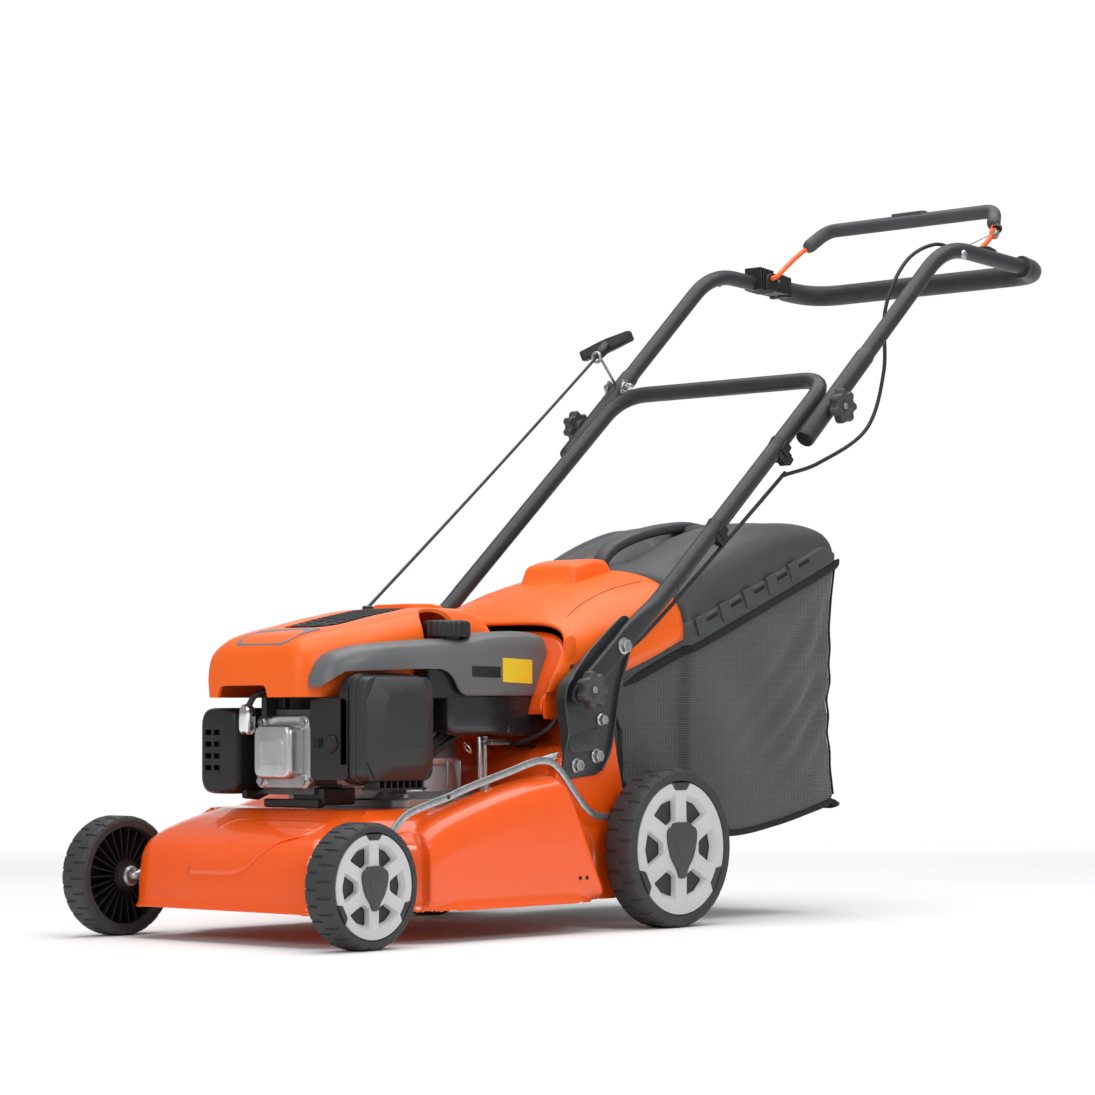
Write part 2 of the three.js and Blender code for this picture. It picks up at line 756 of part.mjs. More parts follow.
function addHead() {
  const y = HEAD_FRONT_Y;
  const finZ = (i) => 186 + i * 16;
  const fins = Array.from({ length: 5 }, (_, i) => block(-44, 46, y + 6, y + 40, finZ(i), finZ(i) + 4));
  const head = block(-42, 44, y, y + 40, 168, 268);
  add('cylinder_head', join(head, ...fins), CAST_IRON);
  const flange = rounded([[-43, 176], [45, 176], [45, 260], [-43, 260]], 12, 3);
  const dome = rounded([[-32, 186], [31, 186], [31, 250], [-32, 250]], 12, 3);
  const plate = frontPlate(flange, y - 6.3, y - GAP);
  const crown = loft([
    dome.map(([x, z]) => vec(x, y - 6, z)),
    dome.map(([x, z]) => vec(x * 0.99, y - 18, 218 + (z - 218) * 0.99)),
    dome.map(([x, z]) => vec(x * 0.92, y - 24, 218 + (z - 218) * 0.92)),
  ]);
  const bolts = [[-35, 184], [37, 184], [37, 252], [-35, 252]].map(([x, z]) => (
    rod('y', 6.5, y - 13, y - 6, { x, z }, 6)
  ));
  add('rocker_cover', join(plate, crown, ...bolts), ALUMINIUM);
  const boot = bars([vec(-53, y, 243), vec(-48, y - 22, 257), vec(-39, y - 28, 276)], 8, 10);
  add('spark_plug_boot', boot, CHROME);
}

/** The silencer and the slotted guard around it on the right of the head. */
function addExhaust() {
  const y = HEAD_FRONT_Y;
  const can = rounded([[-118, -192], [-74, -192], [-74, -96], [-118, -96]], 12, 3);
  add('muffler', planPlate(can, 184, 258), CAST_IRON);
  const outer = rounded([[-130, 168], [-64, 168], [-64, 270], [-130, 270]], 16, 3);
  const inner = rounded([[-127, 171], [-67, 171], [-67, 267], [-127, 267]], 14, 3);
  const shell = cut(frontPlate(outer, y - 22, -84), frontPlate(inner, y - 19, -80));
  const slots = [];
  for (const x of [-121, -105]) {
    for (const z of [196, 210, 224, 238]) {
      slots.push(block(x, x + 11, y - 30, y - 15, z, z + 6));
    }
  }
  add('muffler_guard', cut(shell, ...slots), BLACK_PLASTIC);
}

function addAirFilter() {
  const plate = frontPlate(rounded([[52, 186], [112, 186], [112, 281], [52, 281]], 8, 2), -192, -187);
  const body = sidePlate(rounded([[-192, 180], [-72, 180], [-72, 309], [-192, 309]], 22, 3), 97, 112);
  const boss = rod('y', 9, -196, -190, { x: 74, z: 232 }, 16);
  const socket = block(58, 64, -200, -180, 226, 234);
  add('air_filter_base', cut(join(plate, body, boss), socket), BLACK_PLASTIC);
  const outline = rounded([[-190, 182], [-75, 182], [-75, 307], [-190, 307]], 20, 3);
  const face = (x, shrink) => outline.map(([y, z]) => (
    vec(x, -132.5 + (y + 132.5) * shrink, 244.5 + (z - 244.5) * shrink)
  ));
  add('air_filter_cover', loft([
    face(112 + GAP, 1),
    face(138, 1),
    face(150, 0.8),
  ]), DARK_PLASTIC);
  const throat = rod('x', 17, 52, 97 - GAP, { y: -118, z: 226 }, 16);
  const bowl = rod('z', 14, 192, 222, { x: 74, y: -118 }, 16);
  const port = rod('x', 12, 38 + GAP, 60, { y: -118, z: 226 }, 12);
  add('carburettor', join(throat, bowl, port), ALUMINIUM);
}

/** What the engine turns: flywheel, shaft and blade, and the starter's rope drum. */
function addTurning() {
  const centre = { x: 0, y: 0 };
  const top = 336;
  const shaft = join(
    rod('z', 11, 72, 330, centre, 20),
    rod('z', 6, 330, top + 6, centre, 12),
  );
  add('crankshaft', shaft, CAST_IRON);
  const vanes = Array.from({ length: 10 }, (_, i) => {
    const vane = block(34, FLYWHEEL_R - 4, -1.5, 1.5, 318, 330);
    return vane.rotate([0, 0, 36 * i]);
  });
  const disc = rod('z', FLYWHEEL_R, 302, 319, centre, 32);
  const bore = rod('z', 11 + GAP, 290, 340, centre, 20);
  add('flywheel', cut(join(disc, ...vanes), bore), CAST_IRON);
  const adapterTop = rod('z', 22, 78, 92, centre, 20);
  const adapterFoot = block(-30, 30, -14, 14, 66, 80);
  const shaftBore = rod('z', 11 + GAP, 60, 100, centre, 20);
  const seat = rod('z', 12, 60, 72 - GAP, centre, 20);
  add('blade_adapter', cut(join(adapterTop, adapterFoot), shaftBore, seat), CAST_IRON);
  const half = BLADE.length / 2;
  const w = BLADE.width / 2;
  const plan = [
    [-half, -w], [half - 70, -w], [half, -w + 8], [half, w], [70 - half, w], [-half, w - 8],
  ];
  const bar = planPlate(plan, BLADE.z + 1.5, 66 - GAP);
  const head = rod('z', 9, BLADE.z - 6, BLADE.z + 2, centre, 6);
  const wing = (side) => block(-70, 0, w - 16, w - 1, 64, 76).translate([half, 0, 0])
    .rotate([0, 0, side > 0 ? 0 : 180]);
  add('blade', join(bar, head, wing(1), wing(-1)), BLACK_STEEL);
  const drum = cut(rod('z', 27, 346, 358, centre, 24), rod('z', 8, 340, 350, centre, 12));
  add('starter_pulley', drum, BLACK_PLASTIC);
}

/** The small lever below the tank that the brake cable pulls. */
function addBrakeLever() {
  const { x, y } = BRAKE_PIVOT;
  const armCorners = [[x - 7, y - 8], [x + 7, y - 8], [x + 9, y + 34], [x - 3, y + 34]];
  const arm = planPlate(rounded(armCorners, 5, 2), 228, 231);
  const post = rod('z', 3.5, 182, 228.5, BRAKE_PIVOT, 10);
  add('brake_lever', join(arm, post), ZINC);
}

function addEngine() {
  addTopCover();
  addShroud();
  addFuelSystem();
  addCrankcase();
  addHead();
  addExhaust();
  addAirFilter();
  addTurning();
  addBrakeLever();
}

// ---------------------------------------------------------------- handle

const armPath = bentPath([
  vec(ARM_X, 539, 615),
  vec(ARM_X, 853, 899),
  vec(ARM_X, BAR.y, BAR.z),
  vec(-ARM_X, BAR.y, BAR.z),
  vec(-ARM_X, 853, 899),
  vec(-ARM_X, 539, 615),
], 52);

const legPath = bentPath([
  vec(LEG_X, 218, 355),
  vec(LEG_X, 262, 388),
  vec(LEG_X, CROSSBAR.y, CROSSBAR.z),
  vec(-LEG_X, CROSSBAR.y, CROSSBAR.z),
  vec(-LEG_X, 262, 388),
  vec(-LEG_X, 218, 355),
], 46);

function addLowerHandle() {
  const tube = sweep(legPath, TUBE_R, 70);
  const outline = strip([[122, 281], [212, 350], [238, 371]], 12);
  const foot = sidePlate(rounded(outline, 8, 2), LEG_X - 5, LEG_X + 4);
  const holes = [
    rod('x', 5.4, 150, 200, LEG_PIVOT, 14),
    rod('x', 3.9, 150, 200, LEG_KNOB, 12),
    rod('x', 3.9, 160, 200, MID_KNOB, 12),
  ];
  const half = cut(join(tube, foot, mirrored(foot)), ...holes, ...holes.map(mirrored));
  add('lower_handle', half, TUBE_PAINT);
}

function addUpperHandle() {
  const tube = sweep(armPath, TUBE_R, 84);
  const sleeve = bars([vec(ARM_X, 545, 620.5), vec(ARM_X, 672, 735.3)], 12.6, 12);
  const hole = rod('x', 3.9, 170, 230, MID_KNOB, 12);
  const body = join(tube, sleeve, mirrored(sleeve));
  add('upper_handle', cut(body, hole, mirrored(hole)), TUBE_PAINT);
  const rear = block(-400, 400, 1030, 1200, 800, 1000);
  const rightRun = block(-400, -150, 1012, 1200, 800, 1000);
  const grip = sweep(armPath, GRIP_R, 84).intersect(join(rear, rightRun));
  add('handle_grip', cut(grip, sweep(armPath, TUBE_R + GAP, 84)), GRIP_RUBBER);
}

/** A seven-lobed hand knob and its screw, which points inwards from x. */
function knob(at, x, screwTo) {
  const lobes = Array.from({ length: 42 }, (_, i) => {
    const turn = (2 * Math.PI * i) / 42;
    const r = 20 + 3 * Math.cos(7 * turn);
    return [at.y + r * Math.cos(turn), at.z + r * Math.sin(turn)];
  });
  const head = sidePlate(lobes, x + 6, x + 20);
  const collar = rod('x', 10, x, x + 7, at, 16);
  const screw = rod('x', 3.5, screwTo, x + 1, at, 10);
  return join(head, collar, screw);
}

function addKnobs() {
  const low = knob(LEG_KNOB, LEG_X + 4 + GAP, LEG_X - 5);
  const mid = knob(MID_KNOB, ARM_X + 13.2, LEG_X - 14);
  add('knob_lower_left', low, DARK_PLASTIC);
  add('knob_lower_right', mirrored(low), DARK_PLASTIC);
  add('knob_upper_left', mid, DARK_PLASTIC);
  add('knob_upper_right', mirrored(mid), DARK_PLASTIC);
}

/** The orange wire bail, its grip and the two brackets that it turns in. */
function addBail() {
  const pinX = 190;
  const legX = 178;
  const wirePath = bentPath([
    vec(pinX, BAIL_PIVOT.y, BAIL_PIVOT.z),
    vec(legX, BAIL_PIVOT.y, BAIL_PIVOT.z),
    vec(legX, 1008, 932),
    vec(150, BAIL_TOP.y, BAIL_TOP.z),
    vec(-150, BAIL_TOP.y, BAIL_TOP.z),
    vec(-legX, 1008, 932),
    vec(-legX, BAIL_PIVOT.y, BAIL_PIVOT.z),
    vec(-pinX, BAIL_PIVOT.y, BAIL_PIVOT.z),
  ], 16);
  add('bail_wire', sweep(wirePath, 3.5, 80, 8), BAIL_ORANGE);
  const span = block(-400, 400, 1022, 1100, 900, 1100);
  const grip = sweep(wirePath, 10, 80).intersect(span);
  const pad = block(-28, 28, BAIL_TOP.y - 8, BAIL_TOP.y + 8, BAIL_TOP.z + 5, BAIL_TOP.z + 13);
  add('bail_grip', cut(join(grip, pad), sweep(wirePath, 3.8, 80, 8)), DARK_PLASTIC);
  const socket = rod('x', 4, 150, 230, BAIL_PIVOT, 12);
  const tube = sweep(armPath, TUBE_R + GAP, 84);
  const left = block(184, ARM_X, 948, 992, 886, 912);
  const right = join(
    block(-ARM_X - 14, -184, 960, 1008, 878, 908),
    block(-ARM_X - 9, -186, 944, 962, 876, 916),
  );
  add('bail_bracket_left', cut(left, tube, socket), BLACK_PLASTIC);
  add('bail_bracket_right', cut(right, tube, mirrored(socket)), BLACK_PLASTIC);
}

function addStarter() {
  const eye = vec(-205, 598, 757);
  const outlet = vec(-62, 12, 393);
  const line = outlet.clone().sub(eye).normalize();
  const foot = vec(-ARM_X, 640, 722);
  const wire = bars([
    foot,
    eye.clone().add(vec(-7, 4, -6)),
    eye.clone().add(vec(-7, -2, 8)),
    eye.clone().add(vec(7, 0, 8)),
    eye.clone().add(vec(7, 6, -6)),
  ], 2, 6);
  const clamp = block(-ARM_X - 14, -ARM_X + 14, 636, 652, 706, 728);
  const armSpace = bars([vec(-ARM_X, 625, 692.8), vec(-ARM_X, 665, 729)], 13.5, 16);
  add('rope_guide', cut(join(wire, clamp), armSpace), ZINC);
  const stemEnd = eye.clone().addScaledVector(line, -26);
  const stem = bars([eye.clone().addScaledVector(line, -8), stemEnd], 7, 10);
  const barRun = vec(0.85, 0.35, 0.35).normalize();
  const bar = bars([
    stemEnd.clone().addScaledVector(barRun, -38),
    stemEnd.clone().addScaledVector(barRun, 38),
  ], 9, 10);
  add('starter_grip', join(stem, bar), BLACK_PLASTIC);
  const rope = bars([eye.clone().addScaledVector(line, 4), outlet], 2, 8);
  add('starter_rope', rope, CORD);
}

/** The brake cable from the engine to the lower handle, and on to the bail. */
function addCables() {
  const lower = bentPath([
    vec(94, 90, 225),
    vec(122, 106, 230),
    vec(150, 124, 262),
    vec(163.8, 148, 298),
    vec(163.8, 190, 322),
    vec(165, 250, 345),
    vec(LEG_X, 305, 399),
    vec(LEG_X, 525, 570),
  ], 26);
  add('brake_cable_lower', sweep(lower, 2.3, 34, 8), CORD);
  const upper = bentPath([
    vec(LEG_X + 0.3, 528, 572.4),
    vec(183, 600, 590),
    vec(183, 700, 640),
    vec(182, 742, 720),
    vec(182, 747, 805),
    vec(184, 790, 872),
    vec(189, 850, 904),
    vec(189, 905, 899),
  ], 60);
  add('brake_cable_upper', sweep(upper, 2.3, 40, 8), CORD);
}

function addHandle() {
  addLowerHandle();
  addUpperHandle();
  addKnobs();
  addBail();
  addStarter();
  addCables();
}

// ---------------------------------------------------------------- grass bag

/** The height of the seam where the lid meets the cloth. */
const seamZ = (y) => 290 + 0.4 * (y - 215);

function lidForm(sheet) {
  const stations = [
    { y: 215, half: 151, crown: 384, power: 2.8 },
    { y: 270, half: 153, crown: 406, power: 2.8 },
    { y: 346, half: 157, crown: 430, power: 2.8 },
    { y: 358, half: 166, crown: 442, power: 3.2 },
    { y: 435, half: 170, crown: 480, power: 4.5 },
    { y: 546, half: 172, crown: 512, power: 6 },
    { y: 622, half: 172, crown: 510, power: 6 },
    { y: 650, half: 168, crown: 478, power: 6 },
  ];
  const last = stations.length - 1;
  return loft(stations.map(({ y, half, crown, power }, i) => {
    const inset = i === 0 ? sheet : (i === last ? -sheet : 0);
    const drop = sheet > 0 ? 8 : 0;
    const arch = archRing({
      y: y + inset,
      half: half - sheet,
      edge: seamZ(y) + (sheet > 0 ? 2 : 0),
      crown: crown - sheet,
      thick: 0,
      power,
    });
    const dome = arch.slice(0, arch.length / 2);
    const skirt = [dome.at(-1), dome[0]].map((p) => vec(p.x, p.y, seamZ(y) - drop));
    return [...dome, ...(sheet > 0 ? skirt : [])];
  }));
}

function addBag() {
  const pocket = (wall) => sidePlate([
    [384 - wall, 436 - wall],
    [530 + wall, 452 - wall],
    [530 + wall, 560],
    [384 - wall, 560],
  ], -34 - wall, 34 + wall);
  const handle = sidePlate([
    [366, 436], [372, 462], [404, 486], [452, 500], [520, 513], [560, 514], [560, 500],
    [528, 499], [454, 486], [414, 473], [394, 455], [388, 440],
  ], -12, 12);
  const shell = cut(cut(lidForm(0), pocket(0)), cut(lidForm(3), pocket(3)));
  add('bag_lid', join(shell, handle), DARK_PLASTIC);

  const clothForm = (wall) => {
    const open = wall > 0 ? 20 : 0;
    const side = sidePlate([
      [236 - open, 182 + wall],
      [236 - open, seamZ(236) - GAP + open],
      [650 - wall, seamZ(650) - GAP + open],
      [636 - wall, 138 + wall],
      [435, 103 + wall],
      [300 + wall, 128 + wall],
    ], -180, 180);
    const half = [[150, 200], [156, 346], [167, 362], [171, 440], [172, 620], [168, 660]];
    const right = half.map(([x, y]) => [wall - x, y]).reverse();
    const plan = planPlate([...half.map(([x, y]) => [x - wall, y]), ...right], 60, 560);
    return side.intersect(plan);
  };
  add('bag_cloth', cut(clothForm(0), clothForm(2)), BAG_CLOTH);
  const mouth = [
    vec(0, 229, 188), vec(150, 229, 188), vec(150, 229, 252), vec(-150, 229, 252),
    vec(-150, 229, 188), vec(0, 229, 188),
  ];
  add('bag_frame', bars(mouth, 3, 8), BLACK_STEEL);
}

addDeck();
addAxles();
addBrackets();
addFlap();
addEngine();
addHandle();
addBag();

export default mower;
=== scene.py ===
"""Looks of the walk-behind lawn mower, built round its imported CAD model.

Shapes are written in millimetres about the point on the ground midway between the axles,
the frame the part's own dimensions use, and placed in metres by P().
"""

import math

import bmesh
import bpy
import numpy as np
from mathutils import Matrix, Vector


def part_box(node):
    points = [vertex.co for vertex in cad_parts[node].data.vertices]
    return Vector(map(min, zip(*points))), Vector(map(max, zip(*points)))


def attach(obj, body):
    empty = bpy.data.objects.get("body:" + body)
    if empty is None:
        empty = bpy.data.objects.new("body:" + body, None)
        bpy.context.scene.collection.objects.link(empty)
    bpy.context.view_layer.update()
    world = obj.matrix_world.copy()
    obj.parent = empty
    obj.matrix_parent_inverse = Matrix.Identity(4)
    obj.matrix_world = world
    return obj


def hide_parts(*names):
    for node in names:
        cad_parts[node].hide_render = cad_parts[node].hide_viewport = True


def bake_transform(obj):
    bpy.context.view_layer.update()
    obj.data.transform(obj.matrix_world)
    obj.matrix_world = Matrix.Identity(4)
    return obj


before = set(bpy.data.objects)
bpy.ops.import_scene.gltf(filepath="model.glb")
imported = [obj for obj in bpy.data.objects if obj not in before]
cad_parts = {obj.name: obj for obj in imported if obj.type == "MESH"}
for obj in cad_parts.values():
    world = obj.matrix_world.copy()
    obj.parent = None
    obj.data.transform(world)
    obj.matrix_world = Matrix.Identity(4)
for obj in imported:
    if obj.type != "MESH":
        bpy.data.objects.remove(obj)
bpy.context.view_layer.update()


# ------------------------------------------------------------------ frame

def middle(node):
    low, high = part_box(node)
    return [(a + b) / 2 for a, b in zip(low, high)]


MID_Y = (middle("front_left_wheel")[1] + middle("rear_left_wheel")[1]) / 2


def P(x, y, z):
    """Millimetres about the middle of the wheelbase to metres in the row frame."""
    return Vector((x / 1000, y / 1000 + MID_Y, z / 1000))


# ------------------------------------------------------------------ materials

def principled(name):
    material = bpy.data.materials.new(name)
    material.use_nodes = True
    tree = material.node_tree
    return material, tree, tree.nodes["Principled BSDF"]


def node(tree, kind, **settings):
    made = tree.nodes.new(kind)
    for key, value in settings.items():
        if key in made.inputs:
            made.inputs[key].default_value = value
        else:
            setattr(made, key, value)
    return made


def noise(tree, scale, detail=3.0, stretch=None):
    """Noise in the object's own metres, stretched along an axis if asked."""
    where = node(tree, "ShaderNodeTexCoord").outputs["Object"]
    if stretch:
        mapping = node(tree, "ShaderNodeMapping")
        mapping.inputs["Scale"].default_value = stretch
        tree.links.new(where, mapping.inputs["Vector"])
        where = mapping.outputs["Vector"]
    made = node(tree, "ShaderNodeTexNoise", Scale=scale, Detail=detail)
    tree.links.new(where, made.inputs["Vector"])
    return made.outputs["Fac"]


def ranged(tree, value, low, high, start=0.3, end=0.7):
    made = node(tree, "ShaderNodeMapRange")
    for key, number in (("From Min", start), ("From Max", end), ("To Min", low), ("To Max", high)):
        made.inputs[key].default_value = number
    tree.links.new(value, made.inputs["Value"])
    return made.outputs["Result"]


def shade(tree, fac, dark, light, start=0.35, end=0.65):
    ramp = node(tree, "ShaderNodeValToRGB")
    ramp.color_ramp.elements[0].position = start
    ramp.color_ramp.elements[1].position = end
    ramp.color_ramp.elements[0].color = (*dark, 1)
    ramp.color_ramp.elements[1].color = (*light, 1)
    tree.links.new(fac, ramp.inputs["Fac"])
    return ramp.outputs["Color"]


def bump(tree, bsdf, height, distance):
    made = node(tree, "ShaderNodeBump", Strength=1.0, Distance=distance)
    tree.links.new(height, made.inputs["Height"])
    tree.links.new(made.outputs["Normal"], bsdf.inputs["Normal"])


def tinted(colour, factor):
    return tuple(min(1.0, c * factor) for c in colour)


def surface(name, colour, rough, metal=0.0, vary=0.06, blotch=14, grain=900, depth=0.00004,
            spread=0.06, **sockets):
    """A surface with a faint colour drift, uneven gloss and a fine moulded or sprayed grain."""
    material, tree, bsdf = principled(name)
    drift = noise(tree, blotch, 4)
    tone = shade(tree, drift, tinted(colour, 1 - vary), tinted(colour, 1 + vary))
    tree.links.new(tone, bsdf.inputs["Base Color"])
    gloss = ranged(tree, noise(tree, blotch * 5, 5), rough - spread, rough + spread)
    tree.links.new(gloss, bsdf.inputs["Roughness"])
    bsdf.inputs["Metallic"].default_value = metal
    bump(tree, bsdf, noise(tree, grain, 2), depth)
    for key, value in sockets.items():
        bsdf.inputs[key.replace("_", " ")].default_value = value
    material.diffuse_color = (*colour, 1)
    return material


ENAMEL = surface("orange_enamel", (0.95, 0.108, 0.006), 0.3, vary=0.03, blotch=5, grain=260,
                 depth=0.00002, spread=0.05, Coat_Weight=0.7, Coat_Roughness=0.04,
                 Specular_IOR_Level=0.3)
ORANGE = surface("orange_plastic", (1.0, 0.145, 0.01), 0.36, vary=0.03, grain=1600, depth=0.00002,
                 spread=0.05, Specular_IOR_Level=0.35)
DARK = surface("dark_plastic", (0.052, 0.054, 0.057), 0.5, vary=0.08, grain=1500, depth=0.000025)
BLACK = surface("black_plastic", (0.013, 0.0135, 0.0145), 0.42, vary=0.1, grain=1500, depth=0.00002)
TYRE = surface("tyre", (0.035, 0.036, 0.038), 0.62, vary=0.12, grain=700, depth=0.00012)
TRIM = surface("wheel_trim", (0.58, 0.59, 0.6), 0.42, vary=0.03, grain=1300, depth=0.00003)
SHROUD = surface("shroud_plastic", (0.135, 0.138, 0.142), 0.42, vary=0.05, grain=1500, depth=0.00003)
TUBE = surface("tube_paint", (0.034, 0.035, 0.037), 0.4, vary=0.05, grain=1400,
               depth=0.00001, Specular_IOR_Level=0.35)
STEEL = surface("black_steel", (0.04, 0.042, 0.044), 0.36, metal=0.2, vary=0.08, grain=500,
                depth=0.00003, Coat_Weight=0.3, Coat_Roughness=0.2)
ALUMINIUM = surface("cast_aluminium", (0.5, 0.51, 0.52), 0.38, metal=0.9, vary=0.08, blotch=40,
                    grain=650, depth=0.00012)
CHROME = surface("chrome", (0.75, 0.75, 0.76), 0.12, metal=1.0, vary=0.04, grain=300,
                 depth=0.00001, spread=0.04)
IRON = surface("cast_iron", (0.12, 0.125, 0.13), 0.55, metal=0.7, vary=0.2, blotch=60, grain=500,
               depth=0.0002)
RUBBER = surface("grip_rubber", (0.011, 0.0112, 0.0118), 0.55, vary=0.15, grain=1200,
                 depth=0.00006, Sheen_Weight=0.15)
BAIL = surface("bail_orange", (1.0, 0.13, 0.012), 0.38, vary=0.04, grain=900, depth=0.00003)
# Painted shadow: a near-black fill laid into holes, slots, eyes and hollow ends to stand for the shade
# inside them.
HOLLOW_SHADE = surface("seam_shadow", (0.006, 0.006, 0.006), 0.7, vary=0.1, grain=900, depth=0.00002)
# Painted shade: a darker orange standing for the shadow along the flap's crease line.
ORANGE_CREASE_SHADE = surface("orange_crease_shade", (0.5, 0.045, 0.004), 0.6, vary=0.05, grain=900, depth=0.00002)
PANEL_GREY = surface("panel_grey", (0.2, 0.205, 0.21), 0.45, vary=0.05, grain=1400, depth=0.00004)
LABEL = surface("yellow_label", (0.9, 0.62, 0.03), 0.4, vary=0.03, grain=1500, depth=0.00001)
TANK = surface("tank_plastic", (0.016, 0.0165, 0.0175), 0.26, vary=0.08, grain=600, depth=0.00003,
               Coat_Weight=0.3, Coat_Roughness=0.12)
ALUMINIUM_BRIGHT = surface("bright_casting", (0.62, 0.63, 0.64), 0.34, metal=0.92, vary=0.06, blotch=50,
                           grain=520, depth=0.0001)
FILTER = surface("filter_plastic", (0.026, 0.027, 0.028), 0.44, vary=0.08, grain=1400, depth=0.00005)
LID = surface("lid_plastic", (0.058, 0.06, 0.063), 0.5, vary=0.05, grain=1500, depth=0.00005, spread=0.05)


def zinc():
    """Galvanised steel: soft crystal patches, each with its own tone, under a fine scratch."""
    material, tree, bsdf = principled("zinc")
    crystals = node(tree, "ShaderNodeTexVoronoi", Scale=210.0)
    tree.links.new(node(tree, "ShaderNodeTexCoord").outputs["Object"], crystals.inputs["Vector"])
    patch = node(tree, "ShaderNodeSeparateColor")
    tree.links.new(crystals.outputs["Color"], patch.inputs["Color"])
    tone = shade(tree, patch.outputs["Red"], (0.4, 0.42, 0.43), (0.5, 0.52, 0.53), 0.1, 0.9)
    tree.links.new(tone, bsdf.inputs["Base Color"])
    gloss = ranged(tree, patch.outputs["Green"], 0.3, 0.4, 0.1, 0.9)
    tree.links.new(gloss, bsdf.inputs["Roughness"])
    bsdf.inputs["Metallic"].default_value = 0.92
    bump(tree, bsdf, noise(tree, 300, 4, stretch=(1, 0.15, 1)), 0.00004)
    return material


ZINC = zinc()


def braid():
    """Black cable sheath with a faint spiral lay."""
    material, tree, bsdf = principled("cord")
    wave = node(tree, "ShaderNodeTexWave", Scale=260.0, Distortion=1.5)
    wave.bands_direction = "DIAGONAL"
    tree.links.new(node(tree, "ShaderNodeTexCoord").outputs["Object"], wave.inputs["Vector"])
    tone = shade(tree, wave.outputs["Fac"], (0.008, 0.008, 0.0085), (0.02, 0.02, 0.021))
    tree.links.new(tone, bsdf.inputs["Base Color"])
    gloss = ranged(tree, noise(tree, 120, 3), 0.45, 0.65)
    tree.links.new(gloss, bsdf.inputs["Roughness"])
    bump(tree, bsdf, wave.outputs["Fac"], 0.00006)
    return material


CORD = braid()


def weave(name, pitch, dark, light, depth, sheen=0.25):
    """Woven mesh cloth: threads over and under along two directions of each wall."""
    material, tree, bsdf = principled(name)
    where = node(tree, "ShaderNodeSeparateXYZ")
    tree.links.new(node(tree, "ShaderNodeTexCoord").outputs["Object"], where.inputs[0])

    def threads(*along):
        """A raised thread wherever the distances together make a whole step."""
        total = node(tree, "ShaderNodeMath", operation="ADD")
        total.inputs[1].default_value = 0.0
        for distance, socket in zip(along, total.inputs):
            tree.links.new(distance, socket)
        turn = node(tree, "ShaderNodeMath", operation="MULTIPLY")
        tree.links.new(total.outputs[0], turn.inputs[0])
        turn.inputs[1].default_value = 2 * math.pi / pitch
        sine = node(tree, "ShaderNodeMath", operation="SINE")
        tree.links.new(turn.outputs[0], sine.inputs[0])
        return sine.outputs[0]

    across = threads(where.outputs["X"], where.outputs["Y"])
    rows = threads(where.outputs["Z"])
    grid = node(tree, "ShaderNodeMath", operation="MAXIMUM")
    tree.links.new(across, grid.inputs[0])
    tree.links.new(rows, grid.inputs[1])
    drift = noise(tree, 9, 4)
    tone = shade(tree, grid.outputs[0], dark, light, 0.15, 0.95)
    worn = node(tree, "ShaderNodeMix", data_type="RGBA", blend_type="MULTIPLY")
    worn.inputs["Factor"].default_value = 1.0
    tree.links.new(tone, worn.inputs["A"])
    tree.links.new(shade(tree, drift, (0.86, 0.86, 0.86), (1.0, 1.0, 1.0)), worn.inputs["B"])
    tree.links.new(worn.outputs["Result"], bsdf.inputs["Base Color"])
    bsdf.inputs["Roughness"].default_value = 0.85
    bsdf.inputs["Sheen Weight"].default_value = sheen
    bsdf.inputs["Sheen Roughness"].default_value = 0.5
    bump(tree, bsdf, grid.outputs[0], depth)
    return material


CLOTH = weave("bag_cloth", 0.003, (0.018, 0.0185, 0.0195), (0.12, 0.123, 0.127), 0.0004)
HEM = weave("bag_hem", 0.0011, (0.004, 0.004, 0.0045), (0.013, 0.013, 0.0135), 0.0002, sheen=0.02)


# ------------------------------------------------------------------ curves and numbers

def smooth_table(keys, at):
    """A smooth curve through (t, value...) rows, without overshoot, read at each t in at."""
    table = np.array(keys, float)
    t, v = table[:, 0], table[:, 1:]
    step = np.diff(t)[:, None]
    slope = np.diff(v, axis=0) / step
    tangent = np.zeros_like(v)
    inner = slope[:-1] * slope[1:] > 0
    both = slope[:-1] + slope[1:]
    tangent[1:-1] = np.where(inner, 2 * slope[:-1] * slope[1:] / np.where(both == 0, 1, both), 0)
    tangent[0], tangent[-1] = slope[0], slope[-1]
    at = np.clip(np.asarray(at, float), t[0], t[-1])
    i = np.clip(np.searchsorted(t, at, side="right") - 1, 0, len(t) - 2)
    h = step[i]
    s = ((at - t[i]) / h[:, 0])[:, None]
    return ((2 * s ** 3 - 3 * s ** 2 + 1) * v[i] + (s ** 3 - 2 * s ** 2 + s) * h * tangent[i]
            + (3 * s ** 2 - 2 * s ** 3) * v[i + 1] + (s ** 3 - s ** 2) * h * tangent[i + 1])


def part_way(here, other, reach):
    """The point reach from here towards other, or just short of half way."""
    run = np.array(other, float) - here
    length = np.linalg.norm(run)
    return here + run / length * min(reach, length / 2.05)


def eased_corner(before, here, after, steps):
    """Points of the short curve that replaces the corner at here."""
    shares = [k / steps for k in range(steps + 1)]
    return [(1 - t) ** 2 * before + 2 * t * (1 - t) * here + t ** 2 * after for t in shares]


def rounded(corners, radius, steps=5):
    """A closed outline with each corner replaced by a short curve."""
    out = []
    count = len(corners)
    for i, corner in enumerate(corners):
        here = np.array(corner, float)
        ends = []
        for other in (corners[i - 1], corners[(i + 1) % count]):
            ends.append(part_way(here, other, radius))
        out += [tuple(p) for p in eased_corner(ends[0], here, ends[1], steps)]
    return out


